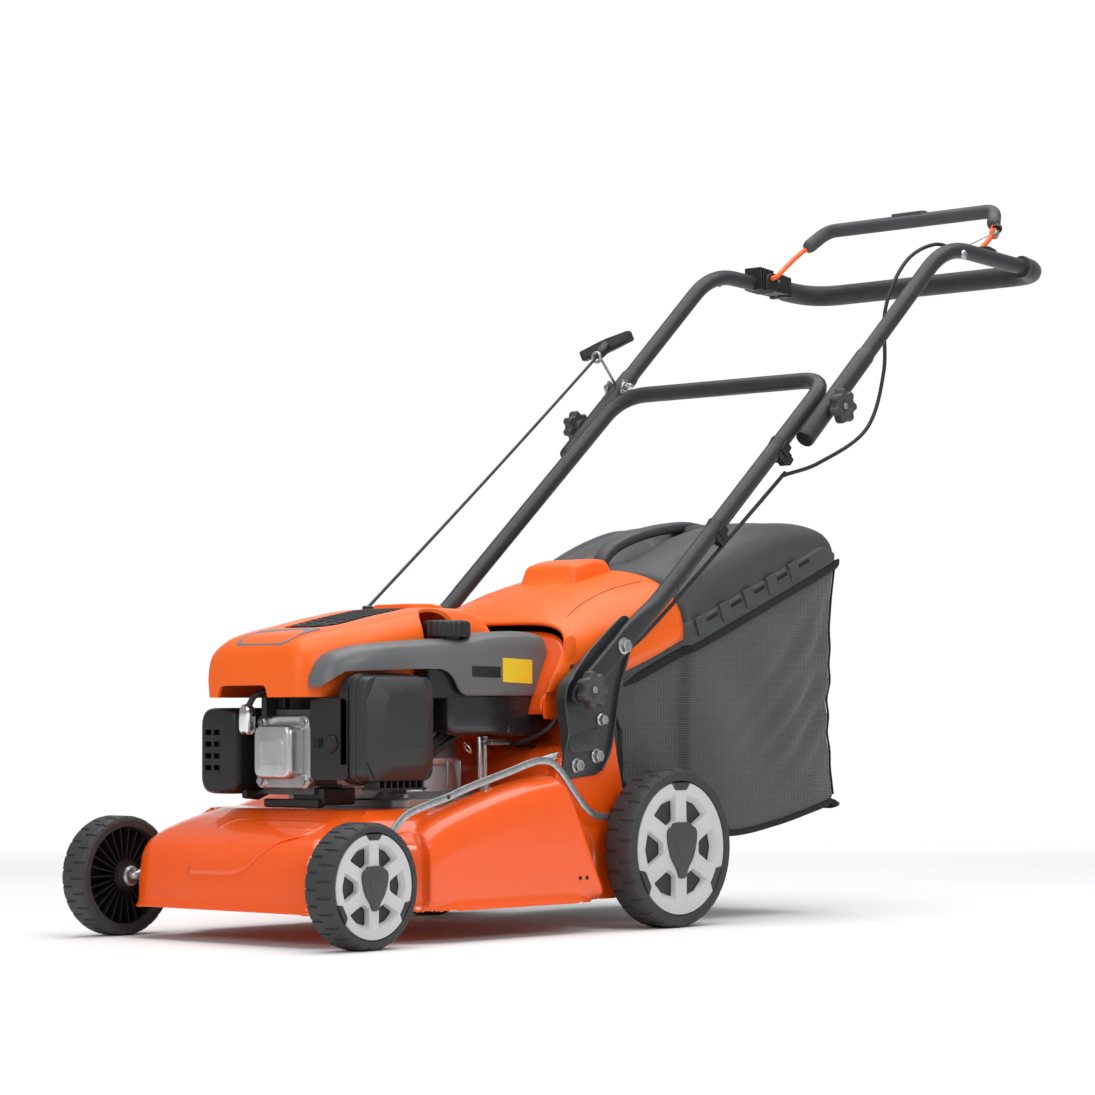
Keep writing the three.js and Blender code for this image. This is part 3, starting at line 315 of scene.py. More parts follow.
def bent(corners, bend, spacing=6.0, steps=8):
    """An open route of straight runs and bends through corner points, evenly dotted."""
    points = [np.array(corners[0], float)]
    for i in range(1, len(corners) - 1):
        here = np.array(corners[i], float)
        ends = []
        for other in (corners[i - 1], corners[i + 1]):
            ends.append(part_way(here, other, bend))
        points += eased_corner(ends[0], here, ends[1], steps)
    points.append(np.array(corners[-1], float))
    dotted = [points[0]]
    for a, b in zip(points, points[1:]):
        count = max(1, round(np.linalg.norm(b - a) / spacing))
        dotted += [a + (b - a) * k / count for k in range(1, count + 1)]
    return dotted


def stretches(*runs):
    """Evenly spaced values along each (start, end, count) run."""
    return [value for start, end, count in runs for value in np.linspace(start, end, count)]


def unit(vector):
    return vector / np.linalg.norm(vector)


def grown(outline, centre, share):
    """The outline scaled by a share about a middle."""
    return [(centre[0] + (a - centre[0]) * share, centre[1] + (b - centre[1]) * share) for a, b in outline]


def circle(radius, sides):
    turn = [2 * math.pi * k / sides for k in range(sides)]
    return [(radius * math.cos(a), radius * math.sin(a)) for a in turn]


def smooth_spline(corners, count):
    """Catmull-Rom points through corners."""
    points = [np.array(c, float) for c in corners]
    points = [2 * points[0] - points[1]] + points + [2 * points[-1] - points[-2]]
    out = []
    spans = len(points) - 3
    for k in range(count + 1):
        s = min(k / count * spans, spans - 1e-9)
        i = int(s)
        t = s - i
        a, b, c, d = points[i:i + 4]
        out.append(0.5 * (2 * b + (c - a) * t + (2 * a - 5 * b + 4 * c - d) * t ** 2
                          + (3 * b - a - 3 * c + d) * t ** 3))
    return out


def dense(outline, spacing):
    """The same outline with extra points along its long runs."""
    out = []
    for a, b in zip(outline, outline[1:] + outline[:1]):
        count = max(1, round(math.dist(a, b) / spacing))
        out += [(a[0] + (b[0] - a[0]) * k / count, a[1] + (b[1] - a[1]) * k / count) for k in range(count)]
    return out


def capsule(a, b, half, steps=12):
    """A flat link outline with round ends from a to b."""
    angle = math.atan2(b[1] - a[1], b[0] - a[0])
    out = []
    for centre, start in ((b, -math.pi / 2), (a, math.pi / 2)):
        for k in range(steps + 1):
            turn = angle + start + math.pi * k / steps
            out.append((centre[0] + half * math.cos(turn), centre[1] + half * math.sin(turn)))
    return out


def ribbon(line, half):
    """The outline of a strip of even width along [y, z] points."""
    line = [np.array(p, float) for p in line]
    left, right = [], []
    for i, p in enumerate(line):
        ahead = unit(line[min(i + 1, len(line) - 1)] - line[max(i - 1, 0)])
        normal = np.array([-ahead[1], ahead[0]])
        left.append(tuple(p + normal * half))
        right.append(tuple(p - normal * half))
    return left, right


def arch(half, edge, crown, power, steps=48, back=0.0, y=0.0):
    """A domed cross-section from the left edge over to the right one."""
    out = []
    for k in range(steps + 1):
        turn = math.pi * k / steps
        c, s = math.cos(turn), math.sin(turn)
        rise = 0.0 if k in (0, steps) else abs(s) ** (2 / power)
        out.append((half * math.copysign(abs(c) ** (2 / power), c), y + back * rise,
                    edge + (crown - edge) * rise))
    return out


# ------------------------------------------------------------------ pieces

def finish(name, mesh_data, material, body, smooth=35, bevel=0.0, replaces=()):
    """Puts a mesh in the scene as a piece of a CAD body; given a tuple instead, it only bakes the placement
    and joins no body.
    """
    for polygon in mesh_data.polygons:
        polygon.use_smooth = smooth > 0
    made = bpy.data.objects.new(name, mesh_data)
    bpy.context.collection.objects.link(made)
    if not mesh_data.materials:
        mesh_data.materials.append(material)
    if bevel:
        edge = made.modifiers.new("edge", "BEVEL")
        edge.width = bevel / 1000
        edge.segments = 2
        edge.limit_method = "ANGLE"
        edge.angle_limit = math.radians(32)
        edge.harden_normals = False
    if smooth:
        mesh_data.set_sharp_from_angle(angle=math.radians(smooth))
    if isinstance(body, tuple):
        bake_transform(made)
    elif body:
        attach(made, body)
    if replaces:
        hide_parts(*([replaces] if isinstance(replaces, str) else replaces))
    return made


def thicken(piece, thickness, offset):
    """Gives a sheet its thickness: offset 1 outwards, -1 inwards, 0 half to each side."""
    sheet = piece.modifiers.new("sheet", "SOLIDIFY")
    sheet.thickness = thickness / 1000
    sheet.offset = offset


def mesh(name, points, faces):
    made = bpy.data.meshes.new(name)
    made.from_pydata([P(*p) for p in points], [], faces)
    work = bmesh.new()
    work.from_mesh(made)
    bmesh.ops.remove_doubles(work, verts=work.verts, dist=1e-6)
    bmesh.ops.recalc_face_normals(work, faces=work.faces)
    work.to_mesh(made)
    work.free()
    return made


def skin(rings, closed=True, caps=True, loop=False):
    """Points and faces of a surface through rings of equal length."""
    count = len(rings[0])
    points = [tuple(p) for r in rings for p in r]
    faces = []
    rows = len(rings) if loop else len(rings) - 1
    for r in range(rows):
        after = (r + 1) % len(rings)
        for i in range(count if closed else count - 1):
            j = (i + 1) % count
            faces.append((r * count + i, r * count + j, after * count + j, after * count + i))
    if caps and not loop:
        faces.append(tuple(range(count)))
        faces.append(tuple(range(len(points) - count, len(points))))
    return points, faces


def skinned(name, rings, material, body, closed=True, caps=True, loop=False, **options):
    return finish(name, mesh(name, *skin(rings, closed, caps, loop)), material, body, **options)


def frames_along(route):
    """The route's points with two steady directions across it at each."""
    route = [np.array(p, float) for p in route]
    heading = [b - a for a, b in zip(route, route[1:])]
    heading = [heading[0]] + [a + b for a, b in zip(heading, heading[1:])] + [heading[-1]]
    heading = [unit(h) for h in heading]
    start = np.array([1.0, 0, 0]) if abs(heading[0][0]) < 0.7 else np.array([0, 0, 1.0])
    side = start - heading[0] * start.dot(heading[0])
    out = []
    for point, ahead in zip(route, heading):
        side = side - ahead * side.dot(ahead)
        side = unit(side)
        out.append((point, side, np.cross(ahead, side)))
    return out


def tube_rings(route, radius, sides=20, section=None):
    """Rings round a route. radius may be a list, one for each point."""
    out = []
    for i, (point, side, up) in enumerate(frames_along(route)):
        r = radius[i] if hasattr(radius, "__len__") else radius
        shape = section or circle(1.0, sides)
        out.append([tuple(point + side * a * r + up * b * r) for a, b in shape])
    return out


def tube(name, route, radius, material, body, sides=20, section=None, **options):
    return skinned(name, tube_rings(route, radius, sides, section), material, body, **options)


def plate(name, outline, plane, low, high, material, body, holes=(), bevel=0.6, **options):
    """An outline with holes, given thickness across its plane ('x', 'y' or 'z')."""
    curve = bpy.data.curves.new(name, "CURVE")
    curve.dimensions = "2D"
    curve.fill_mode = "BOTH"
    curve.extrude = (high - low) / 2 - bevel
    curve.bevel_depth = bevel
    curve.bevel_resolution = 2
    curve.offset = -bevel
    for loop in (outline, *holes):
        spline = curve.splines.new("POLY")
        spline.points.add(len(loop) - 1)
        for point, (a, b) in zip(spline.points, loop):
            point.co = (a, b, 0, 1)
        spline.use_cyclic_u = True
    holder = bpy.data.objects.new(name + "_outline", curve)
    made = bpy.data.meshes.new_from_object(holder)
    bpy.data.objects.remove(holder)
    turn = {
        "x": Matrix(((0, 0, 1), (1, 0, 0), (0, 1, 0))),
        "y": Matrix(((1, 0, 0), (0, 0, -1), (0, 1, 0))),
        "z": Matrix.Identity(3),
    }[plane].to_4x4()
    shift = Vector((0, 0, 0))
    shift["xyz".index(plane)] = (low + high) / 2
    place = Matrix.Translation((0, MID_Y, 0)) @ Matrix.Scale(0.001, 4) @ Matrix.Translation(shift)
    made.transform(place @ turn)
    work = bmesh.new()
    work.from_mesh(made)
    bmesh.ops.remove_doubles(work, verts=work.verts, dist=1e-6)
    bmesh.ops.recalc_face_normals(work, faces=work.faces)
    work.to_mesh(made)
    work.free()
    return finish(name, made, material, body, **options)


def side_plate(name, outline, side, inboard, outboard, material, body, **options):
    """A plate across X between two distances from the middle, on the side asked for."""
    low, high = sorted((side * inboard, side * outboard))
    return plate(name, outline, "x", low, high, material, body, **options)


def lathe(name, profile, axis, centre, material, body, segments=48, **options):
    """A turned piece from [radius, along] corners about an axis through centre."""
    rings = []
    for k in range(segments):
        a = 2 * math.pi * k / segments
        ring = []
        for r, along in profile:
            across = (r * math.cos(a), r * math.sin(a))
            ring.append({
                "x": (centre[0] + along, centre[1] + across[0], centre[2] + across[1]),
                "y": (centre[0] + across[0], centre[1] + along, centre[2] + across[1]),
                "z": (centre[0] + across[0], centre[1] + across[1], centre[2] + along),
            }[axis])
        rings.append(ring)
    return skinned(name, rings, material, body, loop=True, **options)


def both_sides(build):
    """Calls build(label, side) for the left, whose side is 1, and the right, whose side is -1."""
    for label, side in (("left", 1), ("right", -1)):
        build(label, side)


def hex_bolt(name, centre, axis, size, depth, body, sign=1):
    """A flanged hex head with a dished top, standing depth proud of centre."""
    profile = [(0, 0), (size * 1.25, 0), (size * 1.25, depth * 0.2), (size * 1.02, depth * 0.34)]
    lathe(name + "_flange", [(r, sign * a) for r, a in profile] + [(0, sign * depth * 0.34)],
          axis, centre, ZINC, body, segments=24)
    rings = []
    for height, r in ((0.3, 1.0), (0.92, 1.0), (1.0, 0.9), (1.0, 0.45), (0.86, 0.4)):
        ring = []
        for a, b in circle(size * r, 6):
            along = sign * depth * height
            ring.append({
                "x": (centre[0] + along, centre[1] + a, centre[2] + b),
                "y": (centre[0] + a, centre[1] + along, centre[2] + b),
                "z": (centre[0] + a, centre[1] + b, centre[2] + along),
            }[axis])
        rings.append(ring)
    return skinned(name, rings, ZINC, body, smooth=20)


def side_shape(outline, x0, x1):
    """A closed slab of [y, z] corners between two values of X."""
    return skin([[(x, y, z) for y, z in outline] for x in (x0, x1)])


def front_shape(outline, y0, y1):
    """A closed slab of [x, z] corners between two values of Y."""
    return skin([[(x, y, z) for x, z in outline] for y in (y0, y1)])


def turned(profile, centre, segments):
    """A solid of revolution about a vertical line, from [radius, height] corners."""
    rings = []
    for k in range(segments):
        a = 2 * math.pi * k / segments
        rings.append([(centre[0] + r * math.cos(a), centre[1] + r * math.sin(a), z) for r, z in profile])
    return skin(rings, loop=True)


def morph_rings(stations, sides=32):
    """Rings square to a route: (x, y, z, half across X, half in the plane, squareness)."""
    route = [np.array(s[:3], float) for s in stations]
    rings = []
    for i, (point, station) in enumerate(zip(route, stations)):
        ahead = unit(route[min(i + 1, len(route) - 1)] - route[max(i - 1, 0)])
        across = np.array([1.0, 0, 0])
        up = unit(np.cross(ahead, across))
        wide, high, power = station[3:]
        ring = []
        for k in range(sides):
            a = 2 * math.pi * k / sides
            c, s = math.cos(a), math.sin(a)
            p = 2 / power
            ring.append(tuple(point + across * wide * math.copysign(abs(c) ** p, c)
                              + up * high * math.copysign(abs(s) ** p, s)))
        rings.append(ring)
    return rings


def slabbed(name, slabs, material, body, **options):
    """A piece made of slabs, given as blocks_of() takes them."""
    return finish(name, mesh(name, *blocks_of(slabs)), material, body, **options)


def blocks_of(boxes):
    """Points and faces of many slabs, each given by a centre and three half edges as vectors."""
    points, faces = [], []
    for centre, a, b, c in boxes:
        first = len(points)
        centre, a, b, c = (np.array(v, float) for v in (centre, a, b, c))
        for i in (-1, 1):
            for j in (-1, 1):
                for k in (-1, 1):
                    points.append(tuple(centre + a * i + b * j + c * k))
        for quad in ((0, 1, 3, 2), (4, 6, 7, 5), (0, 4, 5, 1), (2, 3, 7, 6), (0, 2, 6, 4), (1, 5, 7, 3)):
            faces.append(tuple(first + q for q in quad))
    return points, faces


def as_object(name, points, faces):
    """A solid in the scene, to be carved or to carve with."""
    made = bpy.data.objects.new(name, mesh(name, points, faces))
    bpy.context.collection.objects.link(made)
    return made


def carve(body, tool):
    """Cuts the tool out of the body and removes the tool."""
    cut = body.modifiers.new(tool.name, "BOOLEAN")
    cut.object = tool
    cut.operation = "DIFFERENCE"
    cut.solver = "EXACT"
    graph = bpy.context.evaluated_depsgraph_get()
    result = bpy.data.meshes.new_from_object(body.evaluated_get(graph))
    body.modifiers.clear()
    old = body.data
    body.data = result
    bpy.data.meshes.remove(old)
    bpy.data.objects.remove(tool)


def baked(body):
    """The carved mesh, without the object that carried it."""
    data = body.data
    data.materials.clear()
    bpy.data.objects.remove(body)
    return data


def faces_in(shell):
    """Whether the shell's faces look inwards, which sets the side its thickness grows to."""
    total = 0.0
    for polygon in shell.data.polygons:
        total += polygon.normal.z * polygon.area
    return total < 0


def soft_union(name, shapes, voxel, rounds):
    """One skin round closed shapes, with every crease eased, in millimetres."""
    points, faces = [], []
    for shape_points, shape_faces in shapes:
        first = len(points)
        points += shape_points
        faces += [tuple(first + i for i in face) for face in shape_faces]
    raw = mesh(name, points, faces)
    holder = bpy.data.objects.new(name, raw)
    bpy.context.collection.objects.link(holder)
    remesh = holder.modifiers.new("skin", "REMESH")
    remesh.mode = "VOXEL"
    remesh.voxel_size = voxel / 1000
    ease = holder.modifiers.new("ease", "SMOOTH")
    ease.factor = 0.5
    ease.iterations = rounds
    graph = bpy.context.evaluated_depsgraph_get()
    made = bpy.data.meshes.new_from_object(holder.evaluated_get(graph))
    bpy.data.objects.remove(holder)
    return made


def drop_faces(data, unwanted):
    """Removes the faces whose centre (working millimetres) and normal the test picks."""
    work = bmesh.new()
    work.from_mesh(data)
    gone = [f for f in work.faces if unwanted((f.calc_center_median() - P(0, 0, 0)) * 1000, f.normal)]
    bmesh.ops.delete(work, geom=gone, context="FACES")
    work.to_mesh(data)
    work.free()
    return data


# ------------------------------------------------------------------ camera, light and floor

CAMERA_TURN, CAMERA_PITCH, CAMERA_ROLL = 42.48, 2.823, -0.194  # degrees
CAMERA_LENS = 110.3145  # mm on a sensor 36 mm wide
CAMERA_AT = (2887.3, -2881.3, 262.6)
FLOOR_RADIUS = 4.2
FLOOR_SIDES = 96


def view_axes():
    """The camera's forward, right and up directions."""
    turn, pitch, roll = (math.radians(a) for a in (CAMERA_TURN, CAMERA_PITCH, CAMERA_ROLL))
    ahead = Vector((-math.sin(turn) * math.cos(pitch), math.cos(turn) * math.cos(pitch),
                    math.sin(pitch)))
    level = Vector((math.cos(turn), math.sin(turn), 0))
    upright = level.cross(ahead)
    right = level * math.cos(roll) + upright * math.sin(roll)
    up = upright * math.cos(roll) - level * math.sin(roll)
    return ahead, right, up


def add_camera():
    ahead, right, up = view_axes()
    camera = bpy.data.objects.new("camera", bpy.data.cameras.new("camera"))
    camera.data.sensor_width = 36
    camera.data.lens = CAMERA_LENS
    camera.data.clip_end = 60
    pose = Matrix((right, up, -ahead)).transposed().to_4x4()
    pose.translation = P(*CAMERA_AT)
    camera.matrix_world = pose
    bpy.context.collection.objects.link(camera)
    bpy.context.scene.camera = camera


def add_floor():
    """A pale round floor that glows white towards its far side."""
    ahead = view_axes()[0]
    points = [(x, y, 0) for x, y in circle(FLOOR_RADIUS, FLOOR_SIDES)]
    floor_mesh = bpy.data.meshes.new("floor")
    floor_mesh.from_pydata(points, [], [tuple(range(FLOOR_SIDES))])
    floor = bpy.data.objects.new("floor", floor_mesh)
    material, tree, bsdf = principled("floor")
    tree.links.new(shade(tree, noise(tree, 2, 2), (0.9, 0.9, 0.9), (0.93, 0.93, 0.93)),
                   bsdf.inputs["Base Color"])
    bsdf.inputs["Roughness"].default_value = 0.9
    bsdf.inputs["Specular IOR Level"].default_value = 0.1
    away = node(tree, "ShaderNodeVectorMath", operation="DOT_PRODUCT")
    tree.links.new(node(tree, "ShaderNodeTexCoord").outputs["Object"], away.inputs[0])
    away.inputs[1].default_value = (ahead.x, ahead.y, 0)
    fade = ranged(tree, away.outputs["Value"], 0.0, 1.0, 0.9, 2.2)
    glow = node(tree, "ShaderNodeEmission", Strength=1.0)
    mixed = node(tree, "ShaderNodeMixShader")
    tree.links.new(fade, mixed.inputs["Fac"])
    tree.links.new(bsdf.outputs["BSDF"], mixed.inputs[1])
    tree.links.new(glow.outputs["Emission"], mixed.inputs[2])
    tree.links.new(mixed.outputs["Shader"], tree.nodes["Material Output"].inputs["Surface"])
    floor_mesh.materials.append(material)
    bpy.context.collection.objects.link(floor)


def add_room():
    """Dark grey all round, white where the camera looks."""
    ahead = view_axes()[0]
    world = bpy.data.worlds.new("studio")
    bpy.context.scene.world = world
    world.use_nodes = True
    tree = world.node_tree
    toward = node(tree, "ShaderNodeVectorMath", operation="DOT_PRODUCT")
    tree.links.new(node(tree, "ShaderNodeTexCoord").outputs["Generated"], toward.inputs[0])
    toward.inputs[1].default_value = tuple(ahead)
    room = shade(tree, toward.outputs["Value"], (0.33, 0.33, 0.335), (1, 1, 1), 0.86, 0.965)
    tree.links.new(room, tree.nodes["Background"].inputs["Color"])
    tree.nodes["Background"].inputs["Strength"].default_value = 1.0


def softbox(name, where, size, power, target=Vector((0, 0, 0.35))):
    light = bpy.data.lights.new(name, "AREA")
    light.shape = "RECTANGLE"
    light.size, light.size_y = size
    light.energy = power
    box = bpy.data.objects.new(name, light)
    box.location = where
    box.rotation_euler = (target - box.location).to_track_quat("-Z", "Y").to_euler()
    bpy.context.collection.objects.link(box)


def add_lights():
    softbox("overhead", Vector((0.2, 0.1, 2.8)), (3.4, 3.4), 92, Vector((0, 0, 0)))
    softbox("key", Vector((2.9, -0.9, 1.7)), (0.9, 0.7), 18)
    softbox("front", Vector((0.2, -3.2, 1.5)), (1.6, 1.0), 18)


add_camera()
add_floor()
add_room()
add_lights()
bpy.context.scene.view_settings.view_transform = "Standard"
bpy.context.scene.view_settings.look = "None"


# ------------------------------------------------------------------ wheels

# tyre radius, width, trim radius
WHEELS = {"front": (71, 41, 59), "rear": (97, 43, 81)}
AXLE_Y = 263
TRACK_X = 229

TAB_TURNS = (math.pi / 2, math.pi * 7 / 6, math.pi * 11 / 6)

TEETH = 24
WHEEL_RIBS = 26

# share of a tooth's pitch, depth of the groove inboard and outboard
TREAD = [(0.0, 1.9, 0.0), (0.1, 1.9, 0.0), (0.14, 0.0, 0.0), (0.48, 0.0, 0.0),
         (0.52, 0.0, 1.9), (0.62, 0.0, 1.9), (0.66, 0.0, 0.0), (0.96, 0.0, 0.0)]


class Wheel:
    """One wheel's measures and its frame: X outwards from the mower, angles round the axle."""

    def __init__(self, end, label, side):
        self.radius, width, self.trim = WHEELS[end]
        self.end, self.label, self.side = end, label, side
        self.body = f"{end}_{label}_wheel"
        self.centre_y = AXLE_Y if end == "rear" else -AXLE_Y
        self.face = TRACK_X
        self.inner = TRACK_X - width
        self.seat = self.face - 9

    def at(self, x, r, a):
        return (self.side * x, self.centre_y + r * math.cos(a), self.radius + r * math.sin(a))

    def sided(self, outline):
        return [(self.centre_y + a, self.radius + b) for a, b in outline]


def add_tyre(wheel):
    radius, inner, face, seat, trim = wheel.radius, wheel.inner, wheel.face, wheel.seat, wheel.trim
    # distance from the axle, X, tread groove: 0 none, 1 inboard, 2 outboard
    profile = [
        (8, inner + 2, 0), (14, inner + 2, 0), (15, seat - 4, 0), (radius - 15, seat - 4, 0),
        (radius - 13, inner + 0.5, 0), (radius - 5.5, inner, 0), (radius - 2, inner + 1.5, 1),
        (radius, inner + 4.5, 1), (radius, (inner + face) / 2 - 1.5, 1),
        (radius, (inner + face) / 2 + 1.5, 2), (radius, face - 6.5, 2), (radius - 1.6, face - 2.6, 2),
        (radius - 4.5, face - 0.2, 0), (radius - 7, face, 0), (trim + 2.4, face, 0),
        (trim + 1.3, face - 1, 0), (trim + 1.3, seat, 0), (8, seat, 0),
    ]
    rings = []
    for k in range(TEETH):
        for turn, inboard, outboard in TREAD:
            a = (k + turn) * 2 * math.pi / TEETH
            depth = (0, inboard, outboard)
            rings.append([wheel.at(x, r - depth[row], a) for r, x, row in profile])
    skinned(f"{wheel.body}_tyre", rings, TYRE, wheel.body, loop=True, caps=False, smooth=24, bevel=0.5,
            replaces=wheel.body)


def add_wheel_back(wheel):
    """Black ribs, bush and hub ring on the side that faces the mower."""
    side, radius, inner, seat, body = wheel.side, wheel.radius, wheel.inner, wheel.seat, wheel.body
    slabs = []
    for k in range(WHEEL_RIBS):
        a = 2 * math.pi * k / WHEEL_RIBS
        slabs.append((wheel.at((inner + 7 + seat - 4) / 2, radius / 2, a),
                      (side * (seat - 4 - inner - 7) / 2, 0, 0),
                      (0, math.cos(a) * (radius - 28) / 2, math.sin(a) * (radius - 28) / 2),
                      (0, -math.sin(a) * 0.8, math.cos(a) * 0.8)))
    slabbed(f"{body}_ribs", slabs, BLACK, body, smooth=0)
    lathe(f"{body}_bush", [(5.9, 0), (12, 0), (12, 3), (9.5, 5), (5.9, 5)], "x",
          (side * inner - side * 2.5, wheel.centre_y, radius), ZINC, body, segments=32)
    lathe(f"{body}_hub_ring", [(14, 0), (19, 0), (19, 3.5), (14, 3.5)], "x",
          (side * (inner + 2) - (0 if side > 0 else 3.5), wheel.centre_y, radius), BLACK, body, segments=40)


def trim_window(trim, i, near, far, wide_near, wide_far):
    """The outline of window i between two shares of the trim's radius, in millimetres about the axle."""
    middle = math.pi / 3 * i
    corners = [(far, -wide_far), (far + 0.02, 0.0), (far, wide_far), (near, wide_near), (near, -wide_near)]
    points = [(trim * r * math.cos(middle + a), trim * r * math.sin(middle + a)) for r, a in corners]
    return rounded(points, 3, 4)


def trim_rim(radius):
    """The trim's rim, let in at the top and at the two lower sides."""
    outline = []
    for k in range(180):
        a = 2 * math.pi * k / 180
        near = min(abs((a - t + math.pi) % (2 * math.pi) - math.pi) for t in TAB_TURNS)
        drop = smooth_table([(0, 0.12), (0.14, 0.12), (0.215, 0.0), (4, 0.0)], [near])[0][0]
        outline.append((radius * (1 - drop) * math.cos(a), radius * (1 - drop) * math.sin(a)))
    return outline


def add_trim(wheel):
    """The pale disc with its six dished windows, and the three black tabs let into its rim."""
    side, face, seat, trim, body = wheel.side, wheel.face, wheel.seat, wheel.trim, wheel.body
    outer = [trim_window(trim, i, 0.42, 0.81, 0.21, 0.37) for i in range(6)]
    deep = [trim_window(trim, i, 0.44, 0.74, 0.19, 0.32) for i in range(6)]
    side_plate(f"{body}_disc", wheel.sided(trim_rim(trim)), side, seat + 4, face - 0.6, TRIM, body,
               holes=[wheel.sided(w) for w in outer], bevel=1.1, smooth=30,
               replaces=f"{wheel.end}_{wheel.label}_trim")
    for i, (wide, tight) in enumerate(zip(outer, deep)):
        rows = []
        for mix, x in ((0, face - 1.6), (0.5, face - 4), (1, seat + 1.2)):
            between = [(a * (1 - mix) + c * mix, b * (1 - mix) + d * mix)
                       for (a, b), (c, d) in zip(wide, tight)]
            rows.append([(side * x, y, z) for y, z in wheel.sided(between)])
        skinned(f"{body}_scoop_{i}", rows, TRIM, body, caps=False, smooth=50)
    for i, turn in enumerate(TAB_TURNS):
        corners = [(trim * r * math.cos(turn + a), trim * r * math.sin(turn + a))
                   for r, a in ((0.885, -0.15), (0.885, 0.15), (1.01, 0.22), (1.01, -0.22))]
        side_plate(f"{body}_tab_{i}", wheel.sided(rounded(corners, 2, 3)), side, seat - 1, face - 0.3,
                   TYRE, body, bevel=0.6)


def add_shield(wheel):
    """The dark hub cap: a shield with a smaller one raised on it."""
    side, face, body = wheel.side, wheel.face, wheel.body
    s = wheel.trim / WHEELS["front"][2]
    half = [(5, -27), (7, -19), (15, -9), (19.5, 4), (20.5, 14), (17.5, 18.5), (13.5, 19.5), (11, 23)]
    shield = [(a * s, b * s) for a, b in half] + [(-a * s, b * s) for a, b in reversed(half)]
    side_plate(f"{body}_shield", wheel.sided(rounded(shield, 5 * s, 5)), side, face - 3, face + 2.6, DARK,
               body, bevel=1.6, replaces=f"{wheel.end}_{wheel.label}_cap")
    small = [(a * 0.5, b * 0.5 + 1) for a, b in shield]
    side_plate(f"{body}_boss", wheel.sided(rounded(small, 3 * s, 4)), side, face + 2.2, face + 3.1, DARK,
               body, bevel=0.4)


def add_wheel(end, label, side):
    wheel = Wheel(end, label, side)
    add_tyre(wheel)
    add_wheel_back(wheel)
    add_trim(wheel)
    add_shield(wheel)


for wheel_end in ("front", "rear"):
    add_wheel(wheel_end, "left", 1)
    add_wheel(wheel_end, "right", -1)


# ------------------------------------------------------------------ deck

# height, how far the nose is set back, how far the sides are let out
DECK_LEVELS = [
    (36, -4, 4), (39, -4, 4), (42, 0, 0), (70, 1, 0), (95, 4, -1), (106, 8, -3), (114, 13, -6),
    (121, 22, -12), (128, 34, -18), (135, 50, -28), (141, 66, -38), (146, 82, -50), (149.5, 94, -58),
    (152, 104, -64),
]


def housing_shape():
    rings = []
    for z, in_front, out in DECK_LEVELS:
        front = -287 + in_front
        mid, waist = 205 + out, 167 + min(out, 2) * 0.6
        half = [(waist - 16, front), (waist, front + 38), (waist, -198), (mid, -128), (mid, 118),
                (waist, 168), (waist, 232 - in_front * 0.2)]
        outline = half + [(-x, y) for x, y in reversed(half)]
        rings.append([(x, y, z) for x, y in rounded(outline, 24, 8)])
    return skin(rings)


def volute_shape(side):
    keys = [(-150, 128, 0), (-128, 140, 0), (-60, 162, 0), (0, 177, 0.15), (50, 186, 0.3), (78, 189, 0.5)]
    rings = []
    for y in np.linspace(-150, 78, 40):
        top, lean = smooth_table(keys, [y])[0]
        section = [(112, 42), (205, 42), (205, top - 30), (200, top - 11), (186, top - 1), (161, top),
                   (112, top - 16)]
        rings.append([(side * x, y + (top - z) * lean, z) for x, z in rounded(section, 12, 5)])
    return skin(rings)


def add_deck():
    channel = [(76, 64), (76, 118), (96, 150), (108, 200), (124, 222), (162, 231), (168, 262), (205, 262),
               (214, 214), (236, 128), (236, 64)]
    ear = [(200, 66), (312, 96), (322, 106), (322, 122), (312, 132), (200, 150)]
    shapes = [housing_shape(), volute_shape(1), volute_shape(-1),
              side_shape(rounded(channel, 9, 5), -168, 168)]
    outer = soft_union("deck_skin", shapes, 2.4, 9)
    drop_faces(outer, lambda c, n: c.z < 40 and n.z < -0.5)
    drop_faces(outer, lambda c, n: c.y > 203 and n.y > 0.6 and c.z > 60 and abs(c.x) < 163)
    deck = finish("deck_shell", outer, ENAMEL, "mower", smooth=180, replaces="deck")
    thicken(deck, 2.2, -1)
    for label, side in (("left", 1), ("right", -1)):
        side_plate(f"deck_ear_{label}", rounded(ear, 6, 4), side, 165, 168, ENAMEL, "mower", bevel=0.8)


PANEL_MIDDLE = (25, 110)


def add_nose_panel():
    """The raised panel on the deck's nose."""
    shield = [(-55, 79), (22, 80), (44, 88), (62, 104), (84, 118), (114, 124), (116, 139), (-38, 139)]
    rim = rounded(shield, 9, 5)

    def on_front(x, z, lift):
        """A point standing lift out of the nose at a height."""
        inward = smooth_table([(36, 0), (70, 1), (95, 4), (106, 8), (114, 13), (121, 22), (128, 34),
                               (135, 50), (141, 66)],
                              [z])[0][0]
        return (x, -287 + inward - lift, z + lift * 0.3)

    rings = []
    for grow, lift in ((1.06, -3), (1.05, 0.2), (1.0, 2.0), (0.96, 2.4), (0.8, 2.4), (0.55, 2.4),
                       (0.3, 2.4)):
        rings.append([on_front(x, z, lift) for x, z in grown(rim, PANEL_MIDDLE, grow)])
    skinned("nose_panel", rings, ENAMEL, "mower", smooth=60)


def add_deck_fittings():
    lathe("wash_plug", [(0, 0), (13, 0), (14, 1.2), (12, 3), (0, 3.6)], "z", (100, 122, 220), BLACK,
          "mower", segments=32)
    for y in (104, 116):
        # Painted shadow: dark discs standing for the shade in the rivet holes.
        lathe(f"rivet_hole_{y}", [(0, 0), (2.6, 0), (2.6, 0.5), (0, 0.5)], "x", (204.8, y, 66), HOLLOW_SHADE,
              "mower", segments=16)


add_deck()
add_nose_panel()
add_deck_fittings()


# ------------------------------------------------------------------ handle

